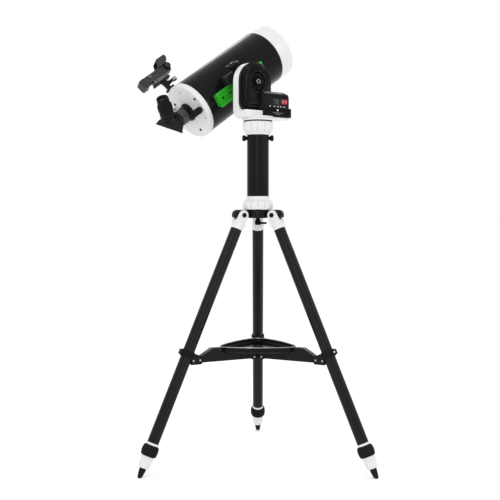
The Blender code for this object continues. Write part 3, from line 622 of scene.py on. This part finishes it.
ARM_HALF_WIDTH = 48.5
ARM_BOTTOM = 843.2
COVER_BOTTOM = 862.0


def arm_outline(inset, bottom):
    """Round above, with rounded lower corners; x and z in the mount's frame."""
    corner = 20.0 - inset
    edge = ARM_HALF_WIDTH - inset
    low = bottom + 20.0
    points = arc(edge - corner, low, corner, 270, 360, 12)
    points += arc(0, ALTITUDE_Z, edge, 0, 180, 60)
    return points + arc(corner - edge, low, corner, 180, 270, 12)


def facing(y):
    """The mount's upright plane at a given depth; outlines in it are (x, z)."""
    return MOUNT @ shift(0, y, 0) @ UPRIGHT


def rectangle(left, low, right, high):
    return [(left, low), (right, low), (right, high), (left, high)]


def build_arm_housing():
    arm = slab("arm_housing", arm_outline(0, ARM_BOTTOM), 23, facing(26.5), WHITE, "mount",
               "arm_housing", bevel=3.0, segments=5)
    cut_with(arm, facing(22), [(x, z + ALTITUDE_Z) for x, z in disc(34, 64)], 22)
    cut_with(arm, facing(36), [(x, z + ALTITUDE_Z) for x, z in disc(8.3, 32)], 30)
    cut_with(arm, MOUNT @ shift(0, 0, 844), disc(9.3, 32), 8)
    foot = [(4.6, 843.2), (4.6, 861.6), (-47, 861.6), *arc(-29, 861.2, 18, 180, 270, 12)]
    slab("arm_foot", foot, 29, facing(1.5), WHITE, "mount", bevel=3.5, segments=5)
    disk = [(9.3, 847), (38, 847), (38, 843.6), (37.5, 843.2), (9.3, 843.2)]
    lathe("arm_turntable", disk, MOUNT, WHITE, "mount", soft=0.3, ring=True, steps=128)
    shelf = [(0, -14), (85, -14), (87, -12), (87, 35), (85, 37), (0, 37)]
    slab("arm_shelf", shelf, 5, MOUNT @ shift(0, 0, 845.7), WHITE, "mount", bevel=1.0)


def build_side_cover():
    steps = [(0, 14.7), (0, 9.4), (0.7, 8.4), (3.4, 8.0), (4.0, 7.4), (4.0, 4.2), (4.7, 3.2),
             (7.4, 2.8), (8.0, 2.2), (8.0, 0.2), (9.0, -0.8), (10.5, -1.0)]
    rings = [[(x, y, z) for x, z in arm_outline(inset, COVER_BOTTOM + inset)]
             for inset, y in steps]
    cover = add("side_cover", rings_mesh(rings, closed=False, capped=True), MOUNT,
                GLOSS_PLASTIC, "mount", "side_cover", angle=40)
    notch = [(4.7, 850), (60, 850), (60, 911.3), (10.9, 911.3), (4.7, 906.7)]
    cut_with(cover, facing(0), notch, 40)
    cut_with(cover, facing(10), [(x, z + ALTITUDE_Z) for x, z in disc(24.3, 96)], 40)
    cut_with(cover, facing(15), [(x, z + ALTITUDE_Z) for x, z in disc(33, 64)], 18)
    seat = [(30.5, 0), (30.5, 1.3), (29.8, 1.9), (28.6, 1.9), (27.8, 1.3), (27.4, 0)]
    matrix = MOUNT @ shift(0, -0.9, ALTITUDE_Z) @ spin(90, "X")
    lathe("cover_seat", seat, matrix, GLOSS_PLASTIC, "mount", soft=0.3, ring=True)


def build_battery_box():
    right, top = 88.0, 911.0
    outline = [(5, 871.3), (right, 871.3), *arc(right - 16, top - 16, 16, 0, 90, 18), (11, top),
               (5, 906.5)]
    box = slab("battery_box", outline, 27.7, facing(0.85), BLACK_PLASTIC, "mount",
               "battery_box", bevel=2.2, segments=5)
    slope = [(-15, 903.4), (-1, 913), (-15, 913)]
    cut_with(box, MOUNT @ shift(46, 0, 0) @ SECTION, slope, 120)
    # A thin mid-grey strip laid on the box's sloped upper edge: a painted highlight standing for
    # the light on that chamfer.
    painted_highlight_strip = [(-12.4, 904.7), (-5.2, 909.6), (-5.6, 910.2), (-12.8, 905.3)]
    slab("box_painted_highlight_strip", painted_highlight_strip, 56, MOUNT @ shift(40, 0, 0) @ SECTION, MID_GREY_TRIM_AND_PAINTED_HIGHLIGHT, "mount",
         bevel=0.2)
    for name, area, floor in (("switch", rectangle(63.5, 880, 82.5, 893), -7.0),
                              ("slot", rectangle(25, 879, 31, 894), -10.5),
                              ("port", rectangle(46, 881, 56, 893), -10.5)):
        cut_with(box, facing((floor - 20) / 2), area, floor + 20)
        xs = [x for x, _ in area]
        zs = [z for _, z in area]
        outer = rectangle(min(xs) - 1.0, min(zs) - 1.0, max(xs) + 1.0, max(zs) + 1.0)
        frame_piece = slab(f"box_{name}_frame", outer, 0.9, facing(-13.2), GLOSS_PLASTIC,
                           "mount", bevel=0.3)
        cut_with(frame_piece, facing(-13), area, 6)
    pins = [(0, 2.0), (1.0, 2.0), (1.3, 1.6), (1.3, 0), (0, 0)]
    for number, z in enumerate((884, 887, 890), 1):
        matrix = MOUNT @ shift(51, -10.6, z) @ spin(90, "X")
        lathe(f"port_pin_{number}", pins, matrix, GUNMETAL, "mount", steps=16, soft=0.2)
    slab("port_insert", rectangle(46.4, 881.4, 55.6, 892.6), 0.6, facing(-10.8), TEAL, "mount",
         bevel=0.1)
    slab("slot_insert", rectangle(26.5, 880.5, 29.5, 892.5), 1.2, facing(-11), GLOSS_PLASTIC,
         "mount", bevel=0.3)
    screw = [(0, 0.6), (1.5, 0.6), (2.2, 0.1), (2.2, -0.3), (0, -0.3)]
    for number, (x, z) in enumerate(((10, 898), (36, 898), (10, 877)), 1):
        matrix = MOUNT @ shift(x, -13.0, z) @ spin(90, "X")
        lathe(f"box_screw_{number}", screw, matrix, GLOSS_PLASTIC, "mount", steps=24, soft=0.1)


def build_control_panel():
    panel = slab("control_panel", rectangle(5, 848.5, 93, 871), 30.7, facing(-0.65),
                 GLOSS_PLASTIC, "mount", "control_panel", bevel=1.4, segments=4)
    cut_with(panel, facing(-16.2), rectangle(8.5, 868.4, 89.5, 869.0), 1.4)
    front = -16.05
    for number, x in enumerate((28, 41.5, 53, 62, 73), 1):
        slab(f"box_mark_{number}", rectangle(x - 2.6, 873.6, x + 2.6, 875.0), 0.12,
             facing(-13.05), PRINT, "mount", bevel=0.02, segments=1)
    slab("box_mark_6", rectangle(52, 880.0, 53.6, 881.6), 0.12, facing(-13.7), GREY_PRINT,
         "mount", bevel=0.02, segments=1)
    slab("panel_mark_1", [(46, 866.6), (52.5, 866.6), (49.3, 861.6)], 0.12, facing(front),
         PRINT, "mount", bevel=0.02, segments=1)
    for number, (left, right, z) in enumerate(((34, 41, 858), (42.5, 55, 858), (56.5, 66, 858),
                                               (42, 48, 854.6), (49.5, 57, 854.6)), 2):
        slab(f"panel_mark_{number}", rectangle(left, z, right, z + 0.9), 0.12, facing(front),
             GREY_PRINT, "mount", bevel=0.02, segments=1)


def build_power_switch():
    matrix = MOUNT @ shift(72.6, -11, 887)
    profile = [(-8.4, -3.3), (-4, -2.6), (0, -2.3), (4, -2.9), (8.4, -4), (8.4, 1.5), (-8.4, 1.5)]
    slab("power_switch", profile, 11.6, matrix, RED, "power_switch", "power_switch", bevel=0.7)
    bar = rectangle(-5.7, -2.2, -5.0, 2.2)
    slab("switch_mark_1", bar, 0.1, matrix @ shift(0, -3.02, 0) @ UPRIGHT, PRINT,
         "power_switch", bevel=0.02, segments=1)
    ring = [(1.7, 0), (1.7, 0.1), (1.2, 0.1), (1.2, 0)]
    lathe("switch_mark_2", ring, matrix @ shift(5.2, -3.22, 0) @ spin(90, "X"), PRINT,
          "power_switch", steps=32, soft=0, ring=True)


def build_altitude_drive():
    axis = MOUNT @ shift(0, 0, ALTITUDE_Z) @ ALONG_Y
    axle = [(0, 38.1), (8, 38.1), (8, 11.5), (4.3, 11.5), (4.3, 26), (0, 26)]
    lathe("altitude_axle", axle, axis, STEEL, "saddle", "altitude_axle", steps=64, soft=0.5)
    wheel = [(30, 26), (30, 18), (8.3, 18), (8.3, 26)]
    lathe("altitude_wheel", wheel, axis, BRASS, "saddle", "altitude_wheel", steps=360,
          soft=0.2, ring=True, ripple=ribs(120, 0.5, 17, 27))
    cap = [(0, 25), (4, 25), (4, 10.9), (21.8, 10.9), (23.4, 9.4), (23.4, 3.4), (22.2, 1.6),
           (19.8, 1.0), (15, 1.0), (12.5, 3.6), (11, 4.4), (9, 4.4), (9, -0.2), (8.2, -1),
           (0, -1)]

    def grip(turn, radius, _height):
        if radius < 15:
            return 0.0
        return -3.0 * max(0.0, math.cos(8 * turn)) ** 3
    lathe("clutch_knob", cap, axis, GLOSS_PLASTIC, "clutch_knob", "clutch_knob", steps=192,
          soft=0.9, ripple=grip)
    boss = [(0, 0.6), (7.4, 0.6), (7.4, -1.4), (6.4, -2.4), (0, -2.4)]
    lathe("clutch_boss", boss, axis, GLOSS_PLASTIC, "clutch_knob", steps=64, soft=0.8)
    ring = [(5.6, -2.2), (5.2, -2.9), (4.2, -2.9), (3.8, -2.2)]
    lathe("clutch_ring", ring, axis, STEEL, "clutch_knob", steps=64, soft=0.2, ring=True)


# ---------------------------------------------------------------- saddle and tube

KNOB_AXIS = (-3, -93.5, 0)
TUBE_BODY = "tube"


def build_saddle():
    plate = [(0, -104), (31, -104), (31, -114.2), (0, -114.2)]
    lathe("saddle_hub", plate, TUBE @ ALONG_Y, ANODISED, "saddle", soft=1.0)
    base = brick("saddle", (-22, -107, -33), (46, -87.3, 33), TUBE, ANODISED, "saddle",
                 "saddle", bevel=2.5, segments=4)
    cut_with(base, TUBE @ shift(0, -89.5, 0) @ UPRIGHT, rectangle(-44, 19, 8, 40), 19)
    jaw = [(-90, -33), (-78.6, -33), (-78.6, -16.4), (-87.0, -19.7), (-90, -19.7)]
    slab("saddle_jaw", jaw, 64, TUBE @ shift(12, 0, 0) @ SECTION, ANODISED, "saddle", bevel=0.6)
    for number, x in enumerate((-10, 34), 1):
        matrix = TUBE @ shift(x, -98, -33.1) @ spin(180, "X")
        screw_head(f"saddle_screw_{number}", matrix, 3.2, "saddle", GLOSS_PLASTIC)
    moving = [(-98.5, 20), (-87.0, 20), (-78.6, 16.7), (-78.6, 38), (-82, 42), (-98.5, 42)]
    slab("clamp_jaw", moving, 50, TUBE @ shift(-18, 0, 0) @ SECTION, ANODISED, "clamp_jaw",
         "clamp_jaw", bevel=0.8)
    knob = [(0, 59), (3.6, 59), (4.6, 61), (8, 61), (10.5, 57.6), (15.8, 58.8), (17.3, 57.6),
            (17.3, 53), (15, 51.4), (9.5, 50.4), (8, 47.4), (8, 42.4), (4, 42.4), (4, 3), (0, 3)]

    def lobe(turn, radius, height):
        if radius < 10 or height < 48:
            return 0.0
        return -4.6 * max(0.0, math.cos(4 * turn)) ** 2
    lathe("clamp_knob", knob, TUBE @ shift(*KNOB_AXIS), ANODISED, "clamp_knob",
          "clamp_knob", steps=160, soft=1.0, ripple=lobe)
    insert = [(0, 61.2), (2.2, 61.2), (2.8, 60.8), (2.8, 58), (0, 58)]
    lathe("clamp_insert", insert, TUBE @ shift(*KNOB_AXIS), STEEL, "clamp_knob", steps=48,
          soft=0.3)


def build_dovetail():
    face = -87.0
    outline = [(face, -19), (-78, -15.5), (-72.4, -15.5), (-72.4, 15.5), (-78, 15.5),
               (face, 19), (face, 12.5), (face + 1.1, 11.8), (face + 1.1, 8.4), (face, 7.7),
               (face, -7.7), (face + 1.1, -8.4), (face + 1.1, -11.8), (face, -12.5)]
    bar = slab("dovetail_bar", outline, 171, TUBE @ shift(2.5, 0, 0) @ SECTION, GREEN,
               TUBE_BODY, "dovetail_bar", bevel=0.7, segments=2)
    for number, x in enumerate((-67.2, -41.6, 53, 79), 1):
        spot = TUBE @ shift(x, 0, 0)
        cut_with(bar, spot @ shift(0, -86, 0) @ UPRIGHT, disc(3.4, 32), 8)
        screw = [(0, -82.4), (3.3, -82.4), (3.3, -84.8), (2.2, -85.2), (1.7, -85.2),
                 (1.6, -83.6), (0, -83.6)]
        lathe(f"dovetail_screw_{number}", screw, spot @ ALONG_Y, GLOSS_PLASTIC, TUBE_BODY,
              steps=32, soft=0.1)


def build_optical_tube():
    axis = TUBE @ ALONG_X
    tube = [(72, -108), (72, 160.4), (70.5, 160.4), (70.5, -108)]
    lathe("optical_tube", tube, axis, GLOSS_BLACK, TUBE_BODY, "optical_tube", steps=192,
          soft=0.3, ring=True)

    rear = [(70.2, -98), (70.2, -108.3), (72.9, -108.3), (72.9, -118), (72.4, -120.4),
            (70.8, -121.8), (69.5, -122), (23.5, -122), (22.8, -121.4), (22.8, -120.4),
            (21, -120), (21, -112), (66, -112), (66, -98)]
    cell = lathe("rear_cell", rear, axis, WHITE_CAST, TUBE_BODY, "rear_cell", steps=192,
                 soft=0.5, ring=True)
    cut_with(cell, TUBE @ shift(-116, -57.2, 2.9) @ ALONG_X, disc(4, 32), 20)
    places = ((39, 25), (-5, 54), (-53.3, 31), (-57.3, -22.8), (-12.3, -52.3), (38, -38))
    for number, (y, z) in enumerate(places):
        large = number % 2 == 0
        spot = TUBE @ shift(-122, y, z) @ spin(-90, "Y")
        if large:
            screw_head(f"collimation_screw_{number}", spot, 3.2, TUBE_BODY, GLOSS_PLASTIC, 1.8)
        else:
            screw_head(f"collimation_lock_{number}", spot, 2.1, TUBE_BODY, STEEL, 0.8)

    front = [(70.6, 203), (72.2, 202.2), (72.9, 200.4), (72.9, 192.6), (72.4, 192.2),
             (72.4, 191.4), (72.9, 191), (72.9, 160.7), (70.2, 160.7), (70.2, 150), (66.6, 150),
             (66.6, 176), (62.5, 176), (62.5, 179), (66.6, 179), (66.9, 202), (68, 203)]
    lathe("front_cell", front, axis, WHITE, TUBE_BODY, "front_cell", steps=192, soft=0.35,
          ring=True)
    ring = [(66.5, 187), (66.5, 190.2), (64.8, 190.2), (63.2, 188.6), (63.2, 187)]
    lathe("retaining_ring", ring, axis, ANODISED, TUBE_BODY, steps=160, soft=0.3, ring=True)

    lens = [(0, 182), (12, 182.2), (25, 182.9), (35, 183.8), (45, 185), (63.1, 189), (66.3, 189.2),
            (66.3, 179.3), (62, 179.3), (45, 175.4), (35, 174), (25, 172.8), (12, 172), (0, 171.8)]
    lathe("corrector_lens", lens, axis, LENS, TUBE_BODY, "corrector_lens", steps=128, soft=0)
    spot = [(0, 171.7), (17.4, 172.2), (17.4, 171.6), (0, 171.2)]
    lathe("secondary_spot", spot, axis, MIRROR, TUBE_BODY, steps=64, soft=0)

    mirror = [(64, -66), (64, -80), (24, -80), (24, -100), (17.3, -100), (17.3, -72), (40, -70.4)]
    lathe("primary_mirror", mirror, axis, MIRROR, "primary_mirror", "primary_mirror", steps=128,
          soft=0.4, ring=True)
    baffle = [(16.9, 60), (16.9, -111.7), (20.7, -111.7), (20.7, -121.7), (15, -121.7), (15, 60)]
    lathe("baffle_tube", baffle, axis, MATT_BLACK, TUBE_BODY, "baffle_tube", steps=64,
          soft=0.3, ring=True)


def build_focuser():
    knob = [(0, -104), (3.5, -104), (3.5, -122.3), (6.6, -122.3), (7, -122.8), (7, -126),
            (8.5, -127), (8.5, -148.6), (7.6, -150), (5.2, -150), (4.8, -149.2), (0, -149.2)]
    lathe("focus_knob", knob, TUBE @ shift(0, -57.2, 2.9) @ ALONG_X, RUBBER, "focus_knob",
          "focus_knob", steps=168, soft=0.5, ripple=ribs(28, 0.5, -147.5, -128))
    bolt = [(0, -119), (2, -119), (2, -124), (3.2, -124.6), (3.2, -130), (2.6, -130.8),
            (0, -130.8)]
    lathe("rear_thumb_bolt", bolt, TUBE @ shift(0, 45, 14) @ ALONG_X, STEEL, TUBE_BODY,
          steps=96, soft=0.2, ripple=ribs(16, 0.25, -130, -125))
    back = [(24, -122.3), (24, -125.4), (23, -126.6), (20.4, -127.4), (19.5, -128.6),
            (19.5, -135.4), (19, -136), (16.2, -136), (16.2, -122.3)]
    lathe("visual_back", back, TUBE @ ALONG_X, ANODISED, TUBE_BODY, "visual_back", steps=144,
          soft=0.4, ring=True, ripple=ribs(48, 0.35, -126.2, -122.6))
    for number, roll in enumerate((200, 320), 1):
        spot = TUBE @ shift(-132.2, 0, 0) @ spin(roll, "X")
        screw = [(0, 26.2), (2.2, 26.2), (2.8, 25.6), (2.8, 21.5), (1.4, 21), (1.4, 18), (0, 18)]
        lathe(f"back_screw_{number}", screw, spot, STEEL, TUBE_BODY, steps=72, soft=0.2,
              ripple=ribs(18, 0.25, 21.7, 25.8))


def build_diagonal():
    """The right-angle mirror; the eyepiece is along its own Z axis."""
    body = "diagonal"
    outline = [(-206, 20), (-206, 12.5), (-174.5, -19), (-164, -19), (-164, 20)]
    slab("diagonal_body", outline, 37, DIAGONAL @ UPRIGHT, ANODISED, body, "diagonal_body",
         bevel=1.8, segments=4)
    along = DIAGONAL @ ALONG_X
    nose = [(20.5, -163.5), (20.5, -140.4), (19.8, -139.4), (18.6, -139.2), (18.4, -138.4),
            (18.4, -136.6), (18, -136.4), (13, -136.4), (13, -163.5)]
    lathe("diagonal_nose", nose, along, GUNMETAL, body, steps=144, soft=0.5, ring=True)
    band = [(20.9, -162.5), (20.9, -158), (20.4, -158), (20.4, -162.5)]
    lathe("diagonal_band", band, along, ANODISED, body, steps=180, soft=0.1, ring=True)
    barrel = [(15.9, -150), (15.9, -126), (15.2, -124), (13, -124), (13, -150)]
    lathe("diagonal_barrel", barrel, along, CHROME, body, steps=96, soft=0.3, ring=True)
    upper = DIAGONAL @ shift(-187, 0, 0)
    collar = [(18.4, 19), (18.4, 29.8), (17.8, 31), (16.2, 31), (16.2, 19)]
    lathe("diagonal_collar", collar, upper, ANODISED, body, steps=96, soft=0.4, ring=True)
    for number, roll in enumerate((60, 300), 1):
        spot = upper @ shift(0, 0, 25) @ spin(roll, "Z") @ ALONG_X
        screw = [(0, 26.5), (3, 26.5), (3.6, 25.8), (3.6, 21.8), (1.5, 21.4), (1.5, 17),
                 (0, 17)]
        lathe(f"collar_screw_{number}", screw, spot, GLOSS_PLASTIC, body, steps=72, soft=0.25,
              ripple=ribs(12, 0.35, 22, 26))
    cover = DIAGONAL @ shift(-192.05, 0, -5.05) @ spin(45, "Y")
    brick("diagonal_cover", (-29, -21, -2.2), (29, 21, 2.2), cover, BLACK_PLASTIC, body,
          "diagonal_cover", bevel=1.2)
    brick("diagonal_lip", (-27.5, -19.5, 2.0), (27.5, 19.5, 7.5), cover, ANODISED, body,
          bevel=1.0)
    for number, (x, y) in enumerate(((-24, -16), (24, -16), (-24, 16), (24, 16)), 1):
        screw_head(f"cover_screw_{number}", cover @ shift(x, y, -2.1) @ spin(180, "X"), 1.9,
                   body, STEEL, 0.7)


def build_eyepiece():
    upper = DIAGONAL @ shift(-187, 0, 0)
    barrel = [(15.9, 37), (15.9, 21.6), (15.4, 21), (13.5, 21), (13.5, 37)]
    lathe("eyepiece_barrel", barrel, upper, CHROME, "eyepiece", steps=96, soft=0.3, ring=True)
    body = [(18, 36.4), (18, 31.4), (15, 31.4), (15, 36.4)]
    lathe("eyepiece_skirt", body, upper, ANODISED, "eyepiece", steps=96, soft=0.3, ring=True)
    shell = [(0, 74), (8.5, 74), (9.6, 77.4), (11.5, 79.2), (13.6, 79.6), (14.9, 78.4),
             (15.3, 70), (15.8, 62), (17.2, 60.5), (18.2, 59), (18.6, 55), (18.6, 45), (17.8, 42),
             (17.6, 36), (0, 36)]
    lathe("eyepiece", shell, upper, RUBBER, "eyepiece", "eyepiece", steps=216, soft=0.7,
          ripple=ribs(36, 0.3, 45, 56))
    lens = [(0, 75.6), (4, 75.3), (8.4, 74.3), (8.4, 73.8), (0, 73.8)]
    lathe("eye_lens", lens, upper, LENS, "eyepiece", steps=48, soft=0)


def build_finder():
    """The red-dot finder, on its foot beside the rear cell."""
    brick("finder_foot", (-124, -10, 73.2), (-103, 10, 78.4), FINDER, BLACK_PLASTIC, TUBE_BODY,
          bevel=1.2)
    for number, y in enumerate((-7.5, 7.5), 1):
        screw_head(f"foot_screw_{number}", FINDER @ shift(-106, y, 78.3), 1.9, TUBE_BODY,
                   STEEL, 0.7)
    stalk = [(-120, 78), (-110, 78), (-108, 84), (-101, 86.5), (-92, 87.4), (-92, 94.6),
             (-103, 95), (-108, 101.5), (-122, 101.5), (-120, 92)]
    slab("finder_bracket", stalk, 9, FINDER @ UPRIGHT, BLACK_PLASTIC, TUBE_BODY,
         "finder_bracket", bevel=1.6)
    rail = [(-144, 101), (-91, 101), (-91, 105.6), (-93, 107), (-142, 107), (-144, 105)]
    slab("finder_rail", rail, 16, FINDER @ UPRIGHT, BLACK_PLASTIC, TUBE_BODY, bevel=1.2)
    strip = rectangle(-139, 104.2, -95, 112.7)
    clamp = slab("finder_clamp_strip", strip, 21, FINDER @ UPRIGHT, MID_GREY_TRIM_AND_PAINTED_HIGHLIGHT, TUBE_BODY,
                 bevel=0.6)
    for number, x in enumerate((-131, -102), 1):
        cut_with(clamp, FINDER @ shift(x, -10, 108.8) @ UPRIGHT, disc(2.0, 24), 4)
        # A black disc at the floor of each blind hole: painted shade inside the hole.
        hole = [(0, -7.5), (1.8, -7.5), (1.8, -8.2), (0, -8.2)]
        lathe(f"strip_hole_painted_shade_{number}", hole, FINDER @ shift(x, 0, 108.8) @ ALONG_Y, RUBBER,
              TUBE_BODY, steps=24, soft=0)

    thumb = [(0, -79), (4.9, -79), (5.7, -79.8), (5.7, -89.6), (5.0, -90.4), (2, -90.4), (2, -103),
             (0, -103)]
    lathe("finder_screw", thumb, FINDER @ shift(0, 0, 91) @ ALONG_X, STEEL, "finder_screw",
          "finder_screw", steps=120, soft=0.3, ripple=ribs(24, 0.4, -90, -81))

    body = "finder_body"
    side = [(-160, 114), (-76, 113), (-74, 116), (-74, 131), (-78, 134.4), (-150, 134),
            (-165, 133)]
    slab("finder_body", side, 22, FINDER @ UPRIGHT, GREY_PLASTIC, body, "finder_body",
         bevel=2.2, segments=4)
    tail = rounded([(-164, 134), (-174, 133), (-174, 108), (-154, 108), (-154, 134), (-164, 134)],
                   6, 6)
    slab("finder_tail", tail[:-1], 24, FINDER @ UPRIGHT, GREY_PLASTIC, body, bevel=1.6,
         segments=4)
    cap = [(0, 12.6), (5.6, 12.6), (6.4, 11.8), (6.4, 10), (0, 10)]
    for number, turn in enumerate((0, 180), 1):
        spot = FINDER @ shift(-164, 0, 117) @ spin(turn, "Z") @ ALONG_Y
        lathe(f"finder_cap_{number}", cap, spot, GREY_PLASTIC, body, steps=64, soft=0.4)
    outer = [(-105, 134), (-95, 153.6), (-93, 154.6), (-67, 155), (-64.5, 152), (-65, 146),
             (-70, 139), (-78, 134)]
    hood = slab("finder_hood", outer, 30, FINDER @ UPRIGHT, GREY_PLASTIC, body, bevel=1.2,
                segments=4)
    cut_with(hood, FINDER @ shift(-87, 0, 0) @ SECTION,
             [(-12.6, 137), (12.6, 137), (12.6, 149), (10.4, 151.6), (-10.4, 151.6), (-12.6, 149)],
             80)
    pane = [(-12.4, 137.2), (12.4, 137.2), (12.4, 149), (10.2, 151.4), (-10.2, 151.4),
            (-12.4, 149)]
    slab("finder_window", pane, 1.2, FINDER @ shift(-78, 0, 0) @ SECTION, LENS, body, bevel=0.1)
    brick("finder_lamp", (-112, -3, 133), (-104, 3, 137.5), FINDER, GLOSS_PLASTIC, body,
          bevel=0.8)
    for number, turn in enumerate((0, 180), 1):
        spot = FINDER @ shift(-81.5, 0, 125) @ spin(turn, "Z") @ ALONG_Y
        knob = [(0, 18.2), (6.4, 18.2), (6.8, 19), (7.9, 19), (8.5, 18.2), (8.5, 12), (8, 11),
                (0, 11)]
        lathe(f"finder_knob_{number}", knob, spot, BLACK_PLASTIC, body, steps=120, soft=0.4,
              ripple=ribs(20, 0.4, 12, 18))
        face = [(0, 18.5), (5.8, 18.5), (6.2, 18.2), (0, 18.0)]
        lathe(f"finder_knob_face_{number}", face, spot, GREY_PLASTIC, body, steps=48, soft=0.1)
    neck = [(0, 11.2), (6.5, 11.2), (6.5, -11.2), (0, -11.2)]
    lathe("finder_axle", neck, FINDER @ shift(-81.5, 0, 125) @ ALONG_Y, BLACK_PLASTIC, body,
          steps=48, soft=0.3)
    spot = FINDER @ shift(-139, -11, 128.4) @ spin(90, "X")
    screw_head("finder_trim_screw", spot, 5.2, body, MID_GREY_TRIM_AND_PAINTED_HIGHLIGHT, 1.8)


build_arm_housing()
build_side_cover()
build_battery_box()
build_control_panel()
build_power_switch()
build_altitude_drive()
build_saddle()
build_dovetail()
build_optical_tube()
build_focuser()
build_diagonal()
build_eyepiece()
build_finder()


# ---------------------------------------------------------------- studio

def flat_surface(name, colour, rough):
    """The pale studio floor."""
    material = finish(name, colour, rough, grain=120.0, bump=0.0, mottle=0.004, wear=0.0,
                      rough_spread=0.02, dust=0.0)
    shader = material.node_tree.nodes["Principled BSDF"]
    shader.inputs["Emission Color"].default_value = (1.0, 1.0, 1.0, 1.0)
    shader.inputs["Emission Strength"].default_value = 0.14
    return material


def build_studio():
    bpy.ops.mesh.primitive_plane_add(size=60, location=(0, 0, -0.0005))
    floor = bpy.context.object
    floor.name = "studio_floor"
    floor.data.materials.append(flat_surface("studio_white", (0.9, 0.9, 0.9), 0.9))


def add_light(name, place, target, size, power, colour=(1.0, 1.0, 1.0)):
    lamp = bpy.data.lights.new(name, "AREA")
    lamp.shape = "RECTANGLE"
    lamp.size, lamp.size_y = size
    lamp.energy = power
    lamp.color = colour
    item = bpy.data.objects.new(name, lamp)
    bpy.context.scene.collection.objects.link(item)
    item.location = place
    item.rotation_euler = (Vector(target) - Vector(place)).to_track_quat("-Z", "Y").to_euler()


def build_world(strength):
    world = bpy.data.worlds.new("studio_air")
    bpy.context.scene.world = world
    world.use_nodes = True
    background = world.node_tree.nodes["Background"]
    background.inputs["Color"].default_value = (1.0, 1.0, 1.0, 1.0)
    background.inputs["Strength"].default_value = strength


CAMERA_DISTANCE = 2.2775
CAMERA_HEIGHT = 0.6182
CAMERA_DIP = 2.44
CAMERA_YAW = 0.49


def build_camera():
    lens = bpy.data.cameras.new("camera")
    lens.sensor_width = 36
    lens.lens = 66.7
    camera = bpy.data.objects.new("camera", lens)
    bpy.context.scene.collection.objects.link(camera)
    camera.location = (pillar_x, pillar_y - CAMERA_DISTANCE, CAMERA_HEIGHT)
    camera.rotation_euler = (math.radians(90 - CAMERA_DIP), 0.0, math.radians(CAMERA_YAW))
    bpy.context.scene.camera = camera
    bpy.context.scene.view_settings.view_transform = "Standard"


build_studio()
build_world(1.0)
add_light("key", (-1.6, -2.2, 3.0), (0, 0, 0.8), (0.16, 2.4), 14)
add_light("fill", (2.6, -1.2, 1.6), (0, 0, 0.7), (0.14, 2.4), 9)
add_light("front", (-0.5, -3.4, 1.5), (0, 0, 0.6), (0.22, 2.4), 13)
add_light("back", (0.3, 2.6, 2.6), (0, 0, 0.8), (2.4, 0.6), 9)
build_camera()
